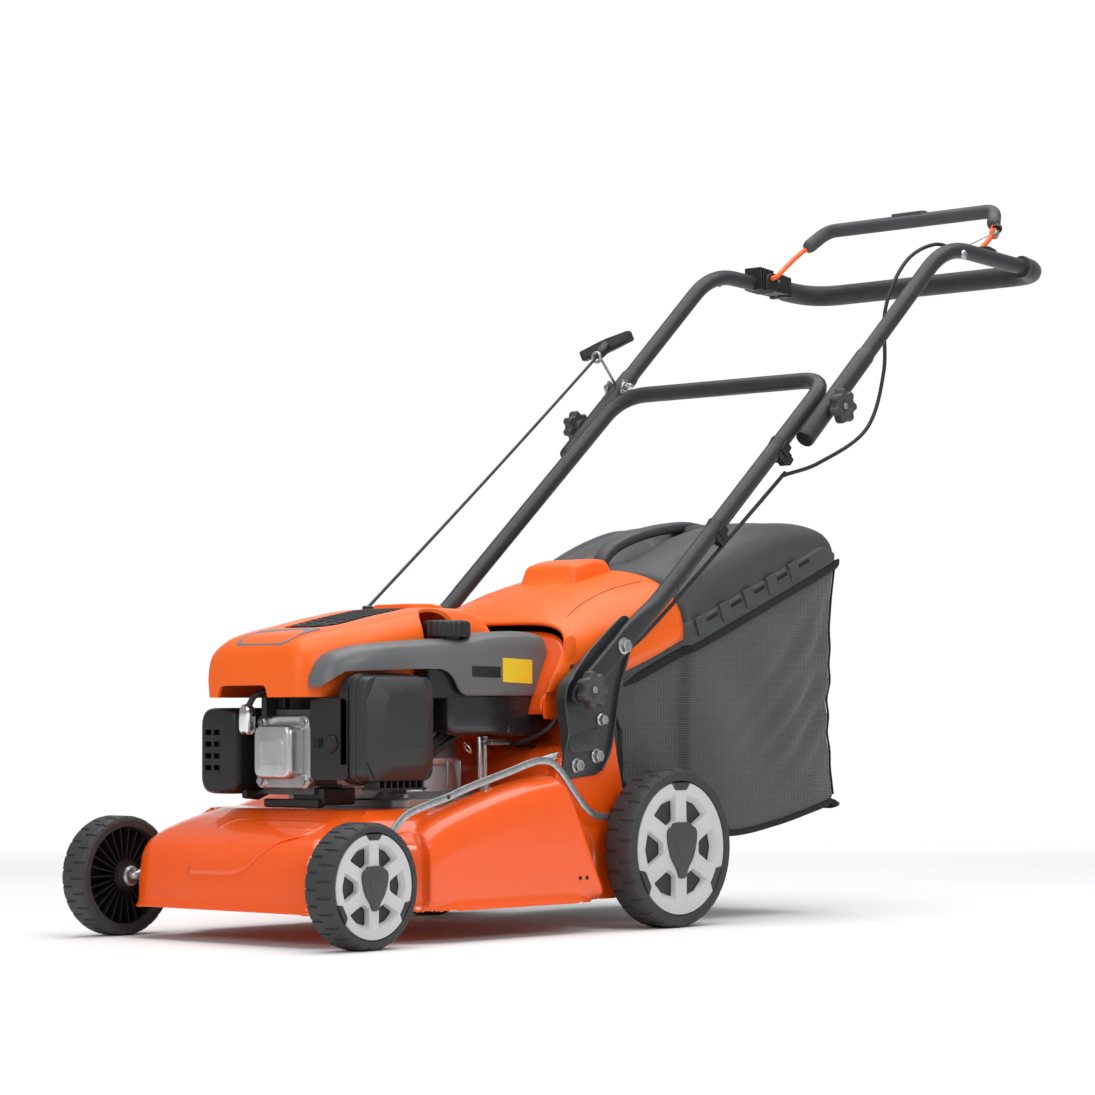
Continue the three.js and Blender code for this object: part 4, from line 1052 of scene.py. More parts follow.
ARM_X, LEG_X, TUBE_R = 207, 182, 11
ROPE_EYE = np.array([-205, 598, 757.0])
ROPE_OUTLET = np.array([-62, 12, 393.0])
LEG_PIVOT = (205, 344)
LEG_KNOB = (133, 290)
MID_KNOB = (587, 660)
BAIL_PIVOT = (965, 900)


def add_lower_handle():
    legs = bent([(LEG_X, 300, 420.4), (LEG_X, 624, 702), (-LEG_X, 624, 702), (-LEG_X, 300, 420.4)], 46)
    tube("lower_frame", legs, TUBE_R, TUBE, "lower_handle", sides=32, replaces="lower_handle", smooth=60)

    def leg_end(label, side):
        keys = [
            (0, 300, 420.4, 11, 11, 2), (1, 276, 399.6, 10.9, 11.1, 2), (2, 258, 386, 9.4, 11.9, 2.4),
            (3, 240, 373, 7.2, 12.8, 3.2), (4, 218, 356, 5, 13.2, 4.5), (5, 205, 344.6, 4.5, 13.2, 5),
            (6, 165, 313, 4.5, 12.6, 5), (7, 133, 288.8, 4.5, 12.4, 5), (8, 124, 282, 4.3, 11, 4),
            (9, 119, 278.2, 3.8, 7.5, 3), (10, 117.4, 277, 2.6, 3.6, 2.4),
        ]
        rows = smooth_table(keys, np.linspace(0, 10, 61))
        stations = [(side * (LEG_X - 0.4), y, z, a, b, p) for y, z, a, b, p in rows]
        skinned(f"leg_end_{label}", morph_rings(stations), TUBE, "lower_handle", smooth=50)
        hex_bolt(f"pivot_bolt_{label}", (side * (LEG_X + 4.6), *LEG_PIVOT), "x", 8.2, 8, "lower_handle",
                 sign=side)

    both_sides(leg_end)


def clip_on_leg(name, centre, length, hang):
    """A moulded cable clip wrapped round the tube, with a hooked tongue below it."""
    ahead = np.array([0, 262, 314.0])
    ahead = unit(ahead)
    down = np.array([0, ahead[2], -ahead[1]])
    here = np.array(centre, float)
    wrap = [here + ahead * t for t in np.linspace(-length / 2, length / 2, 8)]
    tube(name + "_wrap", wrap, 12.6, BLACK, "lower_handle", sides=36, bevel=0.7, smooth=40)
    blocks = [(here + down * 16 + ahead * 2, (6, 0, 0), ahead * length * 0.36, down * hang * 0.5),
              (here + down * (16 + hang * 0.45) + ahead * 5, (5, 0, 0), ahead * length * 0.22,
               down * hang * 0.42)]
    slabbed(name + "_tongue", blocks, BLACK, "lower_handle", smooth=30, bevel=1.4)
    fin = here + down * 3 + ahead * 3 + np.array([12.8, 0, 0])
    slabs = [(fin, (1.6, 0, 0), ahead * length * 0.3, down * 7)]
    slabbed(name + "_fin", slabs, BLACK, "lower_handle", smooth=30, bevel=0.6)


def add_upper_handle():
    arms = bent([(ARM_X, 541, 616.9), (ARM_X, 853, 899), (ARM_X, 1090, 884), (-ARM_X, 1090, 884),
                 (-ARM_X, 853, 899), (-ARM_X, 541, 616.9)], 52)
    tube("upper_frame", arms, TUBE_R, TUBE, "upper_handle", sides=32, replaces="upper_handle", smooth=60)

    def arm_end(label, side):
        low, high = np.array([side * ARM_X, 541.0, 616.9]), np.array([side * ARM_X, 675.0, 738.0])
        length = np.linalg.norm(high - low)
        run = unit(high - low)
        route = [low + run * t for t in (0, 1.5, length - 7, length - 1.5, length)]
        tube(f"sleeve_{label}", route, [11.9, 12.6, 12.6, 11.4, 11.0], TUBE, "upper_handle", sides=32,
             smooth=40)
        cap = [low + run * t for t in (-3.2, -2.4, -0.4, 0.2)]
        tube(f"end_plug_{label}", cap, [10.6, 12.0, 12.4, 11.0], BLACK, "upper_handle", sides=32, smooth=40)
        eye = [low + run * t for t in (-3.5, -3.0)]
        # Painted shadow: a dark disc standing for the shade in the plug's eye.
        tube(f"plug_eye_{label}", eye, 3.0, HOLLOW_SHADE, "upper_handle", sides=20, smooth=30)

    both_sides(arm_end)
    lathe("arm_bolt_left", [(0, 0), (6.5, 0), (6.5, 1.4), (5, 3.4), (3, 4.4), (0, 4.8)], "x",
          (ARM_X + 9.8, 882, 889), ZINC, "upper_handle", segments=24)
    lathe("arm_bolt_right", [(0, 0), (6.5, 0), (6.5, -1.4), (5, -3.4), (3, -4.4), (0, -4.8)], "x",
          (-ARM_X - 9.8, 882, 889), ZINC, "upper_handle", segments=24)

    span = []
    for p in bent([(ARM_X, 853, 899), (ARM_X, 1090, 884), (-ARM_X, 1090, 884), (-ARM_X, 853, 899)], 52, 4):
        reach = 1034 if p[0] > 0 else 1013
        if p[1] >= reach:
            span.append(p)
    widths = [15.0] * len(span)
    for i, w in enumerate((12.6, 14.4, 14.9)):
        widths[i] = widths[-1 - i] = w
    tube("hand_grip", span, widths, RUBBER, "upper_handle", sides=40, replaces="handle_grip", smooth=60)
    first = [span[0] + unit(span[0] - span[4]) * t for t in (1, 0, -5, -6)]
    tube("grip_collar_left", first, [13.2, 15.8, 15.8, 15], RUBBER, "upper_handle", sides=40, smooth=40)


def knob_shape(name, at, x, side, body, node):
    """A hand knob of seven lobes with a domed rim, a sunk middle and a steel hexagon."""
    rings = []
    for out, depth, lobe in ((12, 6, 0.5), (19.2, 6, 0.8), (20.6, 8, 1), (20.6, 16.5, 1), (19.4, 19.2, 1),
                             (17.4, 20, 0.9), (11.5, 19.6, 0.2), (9.5, 17.6, 0), (8.6, 17.2, 0)):
        ring = []
        for k in range(112):
            a = 2 * math.pi * k / 112
            r = out + 2.5 * lobe * max(-1.0, min(1.0, 1.35 * math.cos(7 * a)))
            ring.append((side * (x + depth), at[0] + r * math.cos(a), at[1] + r * math.sin(a)))
        rings.append(ring)
    skinned(f"{name}_head", rings, DARK, body, smooth=40, replaces=node)
    base = [(0, 0), (9.6, 0), (10.4, 2), (11, 6.4), (0, 6.4)]
    lathe(f"{name}_neck", [(r, side * a) for r, a in base], "x", (side * x, *at), DARK, body, segments=32)
    lathe(f"{name}_screw", [(r, side * a) for r, a in ((0, -9), (3.4, -9), (3.4, 1), (0, 1))], "x",
          (side * x, *at), ZINC, body, segments=20)
    hexagon = [[(side * (x + d), at[0] + 4.6 * r * math.cos(t), at[1] + 4.6 * r * math.sin(t))
                for t in [math.pi * k / 3 for k in range(6)]]
               for d, r in ((16.8, 1), (18.6, 1), (19.1, 0.86), (19.1, 0.45), (18.4, 0.4))]
    skinned(f"{name}_nut", hexagon, ZINC, body, smooth=20)


def add_knobs():
    def pair(label, side):
        knob_shape(f"low_{label}", LEG_KNOB, LEG_X + 4.3, side, f"knob_lower_{label}",
                   f"knob_lower_{label}")
        knob_shape(f"mid_{label}", MID_KNOB, ARM_X + 13.2, side, f"knob_upper_{label}",
                   f"knob_upper_{label}")

    both_sides(pair)


def add_bail():
    corners = [(190, *BAIL_PIVOT), (178, *BAIL_PIVOT), (178, 1008, 932), (150, 1054, 975),
               (-150, 1054, 975), (-178, 1008, 932), (-178, *BAIL_PIVOT), (-190, *BAIL_PIVOT)]
    route = bent(corners, 16, 3)
    tube("bail_rod", route, 3.5, BAIL, "bail", sides=20, replaces="bail_wire", smooth=60)
    covered = [p for p in route if p[1] >= 1023]
    rings = []
    for i, (point, side, up) in enumerate(frames_along(covered)):
        end = min(i, len(covered) - 1 - i)
        r = 10.4 if end > 2 else (7.4, 9.2, 10.1)[end]
        rings.append([tuple(point + side * a * r * 0.92 + up * b * r) for a, b in circle(1, 36)])
    skinned("bail_handle", rings, DARK, "bail", smooth=60, replaces="bail_grip")
    pad = rounded([(-29, 1047), (29, 1047), (29, 1061), (-29, 1061)], 4)
    plate("bail_pad", pad, "z", 979, 988, DARK, "bail", bevel=1.6)
    lathe("bail_eye", [(3.4, -3.4), (8, -2.4), (8, 2.4), (3.4, 3.4)], "x", (178, 1011, 935), BAIL, "bail",
          segments=28)
    hex_bolt("bail_rivet", (181, 1011, 935), "x", 4.6, 4, "bail")
    tube("bail_cuff", [(178, 1018, 941.5), (176.6, 1022, 945)], 7.2, BLACK, "bail", sides=24, smooth=40,
         bevel=0.8)


def add_brackets_on_arms():
    low = rounded([(950, 888), (990, 886), (992, 908), (972, 912), (950, 909)], 5)
    plate("bail_seat_left", low, "x", 185, 197, BLACK, "upper_handle", bevel=1.4,
          replaces="bail_bracket_left")
    lathe("bail_seat_cup_left", [(4, -4), (8.5, -4), (8.5, 2), (4, 2)], "x", (184, *BAIL_PIVOT), BLACK,
          "upper_handle", segments=28)
    wrap = [(-ARM_X, y, 895.2 - (y - 960) * 0.06) for y in np.linspace(955, 1012, 9)]
    tube("bail_clamp_wrap", wrap, 13.2, BLACK, "upper_handle", sides=40, smooth=40, bevel=1.0,
         replaces="bail_bracket_right")
    body = rounded([(953, 882), (1008, 879), (1010, 902), (996, 908), (962, 908), (952, 900)], 5)
    plate("bail_clamp_body", body, "x", -200, -185, BLACK, "upper_handle", bevel=1.6)
    plate("bail_clamp_outer", body, "x", -222, -214, BLACK, "upper_handle", bevel=1.6)
    slabs = []
    for k in range(6):
        slabs.append(((-203, 944 + k * 5.4, 899 - 0.6 * k), (15.5, 0, 0), (0, 1.5, 0), (0, 0, 16.5)))
    slabbed("bail_clamp_ribs", slabs, BLACK, "upper_handle", smooth=30, bevel=0.7)
    strap = rounded([(1004, 876), (1016, 876), (1018, 906), (1004, 908)], 3)
    plate("bail_clamp_strap", strap, "x", -222, -190, BLACK, "upper_handle", bevel=1.2)
    lathe("bail_clamp_pin", [(0, 0), (2.6, 0), (2.6, 1.2), (0, 1.8)], "x", (-183.6, 978, 897), ZINC,
          "upper_handle", segments=16)


def add_starter_handle():
    eye = ROPE_EYE
    line = unit(ROPE_OUTLET - eye)
    foot = np.array([-ARM_X, 640, 722.0])
    turns = []
    for k in range(40):
        a = 2 * math.pi * k / 20
        turns.append(eye + np.array([7 * math.cos(a), 0.06 * k - 1, 7 * math.sin(a)]))
    stem = [foot + (turns[0] - foot) * t for t in np.linspace(0, 1, 16)]
    tube("guide_wire", stem[:-1] + turns, 2.0, ZINC, "upper_handle", sides=14, replaces="rope_guide",
         smooth=60)
    clamp_profile = rounded([(634, 708), (652, 704), (654, 722), (640, 730)], 4)
    for x0, x1 in ((-222, -219), (-195, -192)):
        plate(f"guide_washer_{x0}", clamp_profile, "x", x0, x1, ZINC, "upper_handle", bevel=0.7)
    hex_bolt("guide_nut_out", (-221, 642, 718), "x", 5.6, 6, "upper_handle", sign=-1)
    hex_bolt("guide_nut_in", (-193, 642, 718), "x", 5.6, 8, "upper_handle", sign=1)
    lathe("guide_acorn", [(0, 0), (4.4, 0), (4.6, 4), (3.4, 8), (0, 9.6)], "x", (-186, 642, 718), CHROME,
          "upper_handle", segments=24)

    tip = eye - line * 36.0
    bar_run = np.array([0.85, 0.35, 0.35])
    bar_run = unit(bar_run)
    neck = [eye + line * t for t in (-7, -8.5, -16, -28, -37)]
    tube("pull_stem", neck, [5.4, 7.2, 7.6, 8.6, 10], BLACK, "starter_grip", sides=28, smooth=50,
         replaces="starter_grip")
    square = rounded([(-1, -1), (1, -1), (1, 1), (-1, 1)], 0.45, 5)
    bar = [tip + bar_run * t for t in np.linspace(-39, 39, 27)]
    rings = []
    for t, (point, side, up) in zip(np.linspace(-1, 1, 27), frames_along(bar)):
        w = 8.4 + 0.9 * math.cos(t * math.pi)
        h = 8.0
        if abs(t) > 0.98:
            w, h = w * 0.86, h * 0.86
        rings.append([tuple(point + side * a * w + up * b * h) for a, b in square])
    skinned("pull_bar", rings, BLACK, "starter_grip", smooth=40)
    for sign in (-1, 1):
        end = tip + bar_run * sign * 39
        hollow = [end + bar_run * sign * t for t in (-0.6, 0.25)]
        # Painted shadow: dark discs standing for the shade in the bar's hollow ends.
        tube(f"pull_end_{sign}", hollow, 5.4, HOLLOW_SHADE, "starter_grip", sides=24, smooth=0)


def add_rope():
    eye, outlet = ROPE_EYE, ROPE_OUTLET
    engine_end = [outlet + (eye - outlet) * t for t in np.linspace(0, 0.5, 60)]
    handle_end = [outlet + (eye - outlet) * t for t in np.linspace(0.5, 1.0, 60)]

    def slack(rows):
        length = np.linalg.norm(outlet - eye)
        sag = [2.4 * math.sin(math.pi * np.linalg.norm(p - outlet) / length) for p in rows]
        return [p - np.array([0, 0, d]) for p, d in zip(rows, sag)]

    near_engine, near_handle = (P(*p) for p in (engine_end[2], engine_end[-2]))
    tube("rope_low", slack(engine_end), 2.0, CORD, ("mower", "lower_handle", near_engine, near_handle),
         sides=12, replaces="starter_rope", smooth=60)
    start, end = P(*handle_end[2]), P(*handle_end[-8])
    tube("rope_high", slack(handle_end), 2.0, CORD, ("lower_handle", "upper_handle", start, end), sides=12,
         smooth=60)


def add_brake_cable():
    low = bent([(94, 90, 225), (124, 98, 228), (158, 108, 246), (164.8, 132, 282), (163.8, 190, 322),
                (165, 250, 345), (182, 305, 399), (182, 505, 553.5), (182, 530, 573)], 26, 4)
    tube("brake_cable_low", low, 2.6, CORD, ("mower", "lower_handle", P(163.8, 170, 312), P(170, 275, 368)),
         sides=14, replaces="brake_cable_lower", smooth=60)
    corners = [(182, 526, 569), (185, 600, 590), (186, 700, 640), (184, 742, 720), (184, 747, 805),
               (186, 790, 872), (190, 850, 902), (192, 905, 899)]
    high = smooth_spline(corners, 90)
    across_fold = ("lower_handle", "upper_handle", P(182, 545, 573), P(186, 735, 700))
    tube("brake_cable_high", high, 2.6, CORD, across_fold, sides=14, replaces="brake_cable_upper",
         smooth=60)
    sheath_end, bail_end = np.array([191, 908, 901.0]), np.array([183, 1009, 936.0])
    wire = [sheath_end + (bail_end - sheath_end) * t for t in np.linspace(0, 1, 16)]
    tube("brake_wire", wire, 0.9, CHROME, ("upper_handle", "bail", P(191, 915, 903), P(183, 1003, 934)),
         sides=10, smooth=60)
    tube("cable_ferrule", [(191, 893, 899), (191, 912, 901.4)], 3.6, BLACK, "upper_handle", sides=20,
         smooth=40, bevel=0.6)


add_lower_handle()
add_upper_handle()
add_knobs()
add_bail()
add_brackets_on_arms()
add_starter_handle()
add_rope()
add_brake_cable()
clip_on_leg("clip_low", (LEG_X, 384, 491.4), 24, 12)
clip_on_leg("clip_high", (LEG_X, 512, 602.5), 26, 18)


# ------------------------------------------------------------------ axles and height link

def add_running_gear():
    def axle(end, pivot):
        stub_y, stub_z = pivot[0] - 41.7, pivot[1] - 16.9
        route = bent([(-218, stub_y, stub_z), (-175, stub_y, stub_z), (-175, *pivot), (175, *pivot),
                      (175, stub_y, stub_z), (218, stub_y, stub_z)], 8, 5)
        tube(f"{end}_axle_bar", route, 5.5, ZINC, f"{end}_axle", sides=24, smooth=60,
             replaces=f"{end}_axle")
        outline = capsule(pivot, (pivot[0] + 22, pivot[1] + 30), 7.5)
        plate(f"{end}_arm", outline, "x", 176, 180.8, ZINC, f"{end}_axle", bevel=0.8)
        pin = (181, pivot[0] + 22, pivot[1] + 30)
        hex_bolt(f"{end}_link_nut", (185.6, *pin[1:]), "x", 5.4, 4.6, f"{end}_axle")

    axle("front", (-221.3, 87.9))
    axle("rear", (304.7, 113.9))
    plate("height_lever", capsule((304.7, 113.9), (270.7, 231.9), 9), "x", -179.5, -176, ZINC, "rear_axle",
          bevel=0.8)
    plate("height_grip", capsule((277, 208), (266, 243), 12), "x", -185.5, -176.6, BLACK, "rear_axle",
          bevel=2.2)

    front, rear = (-199.3, 117.9), (326.7, 143.9)
    route = [(front[0] - 9, front[1] - 5), front, (-180, 139), (-158, 151), (-101, 166), (-60, 178),
             (0, 193), (40, 203.5), (60, 206), (78, 203), (96, 190), (120, 165), (140, 147), (164, 137.5),
             (230, 137), rear, (rear[0] + 9, rear[1] + 1)]
    line = smooth_spline(route, 120)
    band(line, 4.4, 182.6, 185.0)


def band(line, half, x0, x1):
    """The height link: a flat bar with a rib rolled into its upper edge."""
    left, right = ribbon(line, half)
    rings = []
    for (ay, az), (by, bz) in zip(left, right):
        rings.append([(x0, by, bz), (x1, by, bz), (x1 + 0.5, by * 0.9 + ay * 0.1, bz * 0.9 + az * 0.1),
                      (x1 + 0.5, by * 0.1 + ay * 0.9, bz * 0.1 + az * 0.9), (x1, ay, az), (x0, ay, az)])
    skinned("link_bar", rings, ZINC, "height_link", smooth=30, bevel=0.5, replaces="height_link")
    # Painted shadow: a dark disc standing for the shade in the link's hole.
    lathe("link_hole", [(0, 0), (2.4, 0), (2.4, 0.4), (0, 0.4)], "x", (x1 + 0.5, -101, 166), HOLLOW_SHADE,
          "height_link", segments=20)


def add_spring():
    start, end = np.array([160, 84, 205.0]), np.array([152, 128, 212.0])
    run = unit(end - start)
    side = unit(np.cross(run, (0, 0, 1.0)))
    up = np.cross(side, run)
    coil = []
    for k in range(260):
        a = 2 * math.pi * k / 20
        coil.append(start + run * 38 * k / 260 + side * 4.6 * math.cos(a) + up * 4.6 * math.sin(a))
    tube("return_spring", coil, 0.95, CHROME, "mower", sides=8, smooth=60)
    tail = [coil[-1], start + run * 42, start + run * 60 + np.array([4, 0, 2]), np.array([167, 160, 219])]
    tube("spring_tail", tail, 0.95, CHROME, "mower", sides=8, smooth=60)


add_running_gear()
add_spring()


# ------------------------------------------------------------------ handle brackets

def add_side_brackets():
    outline = rounded([(112, 182), (178, 188), (196, 215), (214, 300), (232, 334), (244, 372), (226, 385),
                       (206, 372), (104, 296), (101, 276), (112, 225)], 10, 6)

    def one(label, side):
        side_plate(f"bracket_{label}_plate", outline, side, 168.3, 170.9, STEEL, "mower", bevel=0.9,
                   replaces=f"bracket_{label}")
        edge = [(114, 206), (109, 238), (103.5, 270), (103.5, 284), (108, 296), (122, 308), (160, 336)]
        line = smooth_spline(edge, 60)
        left, right = ribbon(line, 1.6)
        rings = []
        for k, ((ay, az), (by, bz)) in enumerate(zip(left, right)):
            reach = 184.4 - 13 * max(0.0, 1 - k / 10) - 13 * max(0.0, (k - 46) / 14)
            rings.append([(side * 169, ay, az), (side * reach, ay, az), (side * reach, by, bz),
                          (side * 169, by, bz)])
        skinned(f"bracket_{label}_lip", rings, STEEL, "mower", smooth=40, bevel=0.8)
        rear = [(178, 192), (194, 216), (203, 250), (212, 292), (226, 326), (238, 360)]
        line = smooth_spline(rear, 50)
        left, right = ribbon(line, 1.3)
        rings = [[(side * 169, ay, az), (side * 175, ay, az), (side * 175, by, bz), (side * 169, by, bz)]
                 for (ay, az), (by, bz) in zip(left, right)]
        skinned(f"bracket_{label}_hem", rings, STEEL, "mower", smooth=40, bevel=0.7)
        ramp = rounded([(120, 232), (178, 246), (170, 216), (124, 214)], 6, 5)
        side_plate(f"bracket_{label}_emboss", ramp, side, 170.4, 172.4, STEEL, "mower", bevel=0.9)
        for i, (y, z, size) in enumerate(((135, 199, 7.4), (171, 210, 7.4), (180, 254, 6.2))):
            hex_bolt(f"bracket_{label}_bolt_{i}", (side * 171.2, y, z), "x", size, 8, "mower", sign=side)
        lathe(f"bracket_{label}_pivot_sleeve",
              [(0, 0), (6, 0), (6, side * 6), (0, side * 6)], "x", (side * 171, *LEG_PIVOT), ZINC,
              "mower", segments=24)
        lathe(f"bracket_{label}_hinge_pin", [(0, 0), (4, 0), (4, -side * 20), (0, -side * 20)], "x",
              (side * 170, 146, 318), STEEL, "mower", segments=20)

    both_sides(one)


add_side_brackets()


# ------------------------------------------------------------------ rear flap

# y, half width, lower edge, crown, squareness, how far the crown stands back
FLAP_KEYS = [
    (103, 150, 287, 374, 5, 57), (124, 155, 290, 383, 4, 48), (165, 156, 298, 396, 3.4, 28),
    (218, 158, 308, 413, 3, 12), (285, 161, 330, 432, 2.8, 0), (345, 164, 355, 446, 2.6, 0),
]


def flap_crown(y):
    return smooth_table([(k[0] + k[5], k[3]) for k in FLAP_KEYS], [y])[0][0]


def add_flap():
    rings = []
    for y in np.linspace(103, 345, 36):
        half, edge, crown, power, back = smooth_table(FLAP_KEYS, [y])[0]
        rings.append(arch(half, edge, crown, power, back=back, y=y))
    shell = skinned("flap_shell", rings, ORANGE, "rear_flap", closed=False, caps=False, smooth=60,
                    replaces="rear_flap")
    thicken(shell, 3.4, 1 if faces_in(shell) else -1)


def add_flap_box():
    box_keys = [(258, 30, 0.0), (266, 40, 6), (278, 44, 21), (300, 45, 21), (338, 43, 14), (345, 41, 3),
                (347, 38, -5)]
    rings = []
    for y in np.linspace(258, 347, 30):
        half, lift = smooth_table(box_keys, [y])[0]
        top = flap_crown(y) + lift
        low = flap_crown(y) - 8
        rings.append([(x, y, z) for x, z in rounded([(half + 5, low), (half - 2, top), (-half + 2, top),
                                                    (-half - 5, low)], 9, 5)])
    skinned("flap_box", rings, ORANGE, "rear_flap", smooth=50)


def add_flap_ramp():
    recess = [(206, 30, 0.4), (224, 34, 1.0), (256, 36, 1.0), (262, 36, 2.0)]
    rings = []
    for y in np.linspace(206, 262, 10):
        half, lift = smooth_table(recess, [y])[0]
        z = flap_crown(y)
        rings.append([(half, y, z - 1 + lift), (half - 3, y, z - 0.4 + lift),
                      (-half + 3, y, z - 0.4 + lift), (-half, y, z - 1 + lift),
                      (-half, y, z - 4), (half, y, z - 4)])
    skinned("flap_ramp", rings, ORANGE, "rear_flap", smooth=50)


def add_flap_sides():
    for label, side in (("left", 1), ("right", -1)):
        side_plate(f"flap_ear_{label}", capsule((146, 318), (146, 348), 9), side, 150, 154, ORANGE,
                   "rear_flap", bevel=0.8)
        seam = []
        for y in np.linspace(150, 330, 40):
            half, edge, crown, power, back = smooth_table(FLAP_KEYS, [y])[0]
            k = 0.30 + 0.02 * math.sin((y - 150) / 60)
            c, s = math.cos(math.pi * k), math.sin(math.pi * k)
            x = half * c ** (2 / power)
            rise = s ** (2 / power)
            seam.append((side * (x + 0.2), y + back * rise, edge + (crown - edge) * rise + 0.25))
        # Painted shade: a thin darker orange line standing for the shadow in the flap's crease.
        tube(f"flap_line_{label}", seam, 0.55, ORANGE_CREASE_SHADE, "rear_flap", sides=8, smooth=60)


add_flap()
add_flap_box()
add_flap_ramp()
add_flap_sides()


# ------------------------------------------------------------------ engine

def cover_section(y, right, left, crown, edge, low):
    """The orange cover's outline at y, from its right lower edge over the crown."""
    corners = [(right + 3, low), (right, crown - 34), (right + 5, crown - edge), (right + 17, crown - 5),
               (right + 36, crown), (left - 32, crown), (left - 15, crown - 5), (left - 4, crown - edge),
               (left, crown - 34), (left - 3, low)]
    eased = [corners[0]]
    for i in range(1, len(corners) - 1):
        here = np.array(corners[i], float)
        ends = []
        for other in (corners[i - 1], corners[i + 1]):
            run = np.array(other, float) - here
            ends.append(here + run * 0.42)
        eased += [tuple(p) for p in eased_corner(ends[0], here, ends[1], 4)]
    eased.append(corners[-1])
    return [(x, y, z) for x, z in eased]


CAP_AT = (94, -10)

# y, right edge, left edge, height of the crown, drop of the shoulder
COVER_KEYS = [
    (-215, -98, 48, 327, 10), (-211, -106, 56, 339, 11), (-202, -111, 63, 348, 14),
    (-186, -114, 70, 356, 18), (-120, -120, 90, 370, 20), (-60, -121, 90, 382, 20),
    (0, -121, 86, 390.5, 20), (62, -118, 72, 391, 20), (96, -111, 63, 385, 20), (118, -102, 54, 374, 18),
    (128, -92, 46, 360, 14),
]


def cover_top(y):
    return smooth_table([(k[0], k[3]) for k in COVER_KEYS], [y])[0][0]


def add_top_cover():
    ys = stretches((-215, -200, 8), (-192, 110, 44), (114, 128, 6))
    rings = [cover_section(y, *smooth_table(COVER_KEYS, [y])[0], 282) for y in ys]
    finish("cover_shell", hollowed_cover(rings), ORANGE, "mower", smooth=40, replaces="top_cover")


def hollowed_cover(rings):
    """The cover as a closed shell: its grille bay, cap recess and front notch are cut out."""
    inner = []
    for ring_points in rings:
        xs = [p[0] for p in ring_points]
        mid = (min(xs) + max(xs)) / 2
        top = max(p[2] for p in ring_points)
        inner.append([(mid + (x - mid) * 0.955, y,
                       281 if z < 283 else 281 + (z - 281) * (1 - 3.2 / (top - 281)))
                      for x, y, z in ring_points])
    outer_points, outer_faces = skin(rings)
    body = as_object("cover_body", outer_points, outer_faces)
    hollow_rings = [[(x, y, z - (12 if z < 283 else 0)) for x, y, z in r] for r in inner[2:-2]]
    hollow = as_object("cover_hollow", *skin(hollow_rings))
    bay = bay_shape(0.4, -14, 20)
    recess = as_object("cap_bay", *turned([(0, 349.8), (31.6, 349.8), (33.4, 352), (34, 420), (0, 420)],
                                          CAP_AT, 64))
    notch_outline = rounded([(-90, 262), (-80, 296), (-2, 296), (8, 262)], 6, 5)
    notch = as_object("notch", *front_shape(notch_outline, -232, -194))
    for tool in (hollow, bay, recess, notch):
        carve(body, tool)
    return baked(body)


GRILLE = (-52, 34, -150, -4)


def grille_outline(margin):
    x0, x1, y0, y1 = GRILLE
    return rounded([(x0 - margin, y0 - margin), (x1 + margin, y0 - margin), (x1 + margin, y1 + margin),
                    (x0 - margin, y1 + margin)], 26, 6)


def on_slope(x, y, lift):
    """A point over the cover's sloping top by lift."""
    return (x, y, cover_top(y) + lift)


def bay_shape(margin, low, high):
    rings = []
    for lift in (low, high):
        rings.append([on_slope(x, y, lift) for x, y in grille_outline(margin)])
    return as_object("grille_bay", *skin(rings))


def add_grille():
    rings = [[on_slope(x, y, lift) for x, y in grille_outline(-m)]
             for lift, m in ((-6, 0.6), (-4.5, 0.5), (-4.5, 4.0))]
    skinned("grille_tray", rings, BLACK, "mower", smooth=40, replaces="intake_grille")
    slabs = []
    for i in range(13):
        y = GRILLE[2] + 14 + i * 9.8
        inset = 12 if i in (0, 12) else 5
        middle = on_slope((GRILLE[0] + GRILLE[1]) / 2, y, -1.6)
        half = (GRILLE[1] - GRILLE[0]) / 2 - inset
        slabs.append((middle, (half, 0, 0), (0, 1.5, 0.25), (0, -0.5, 2.2)))
    for x in (-34, -9, 16):
        slabs.append((on_slope(x, -77, -2.2), (1.2, 0, 0), (0, 62, 11.2), (0, 0, 1.6)))
    slabbed("grille_slats", slabs, DARK, "mower", smooth=30, bevel=0.4)


def add_cover_panel():
    panel = rounded([(-64, -208), (24, -208), (40, -160), (-56, -160)], 10, 5)
    rows = []
    for lift, m in ((-1.5, 0.0), (0.5, 0.0), (0.9, 1.2)):
        rows.append([on_slope(x * (1 - m / 60), y + (0 if m == 0 else (-184 - y) * 0.03), lift)
                     for x, y in dense(panel, 4)])
    skinned("cover_panel", rows, PANEL_GREY, "mower", smooth=40)
    block = rounded([(-50, 4), (30, 4), (26, 58), (-46, 58)], 12, 6)
    rows = []
    for lift, shrink in ((-3, 1.03), (3.0, 1.0), (4.6, 0.97), (5.0, 0.9), (5.0, 0.5)):
        rows.append([on_slope(-10 + (x + 10) * shrink, 31 + (y - 31) * shrink, lift - 1.5 * (y > 40))
                     for x, y in dense(block, 5)])
    skinned("cover_block", rows, ORANGE, "mower", smooth=50)
    lathe("rope_bush", [(2.4, -1), (7, -1), (7, 2.5), (5, 4), (2.4, 4)], "z", (-62, 12, 391), BLACK,
          "mower", segments=28)


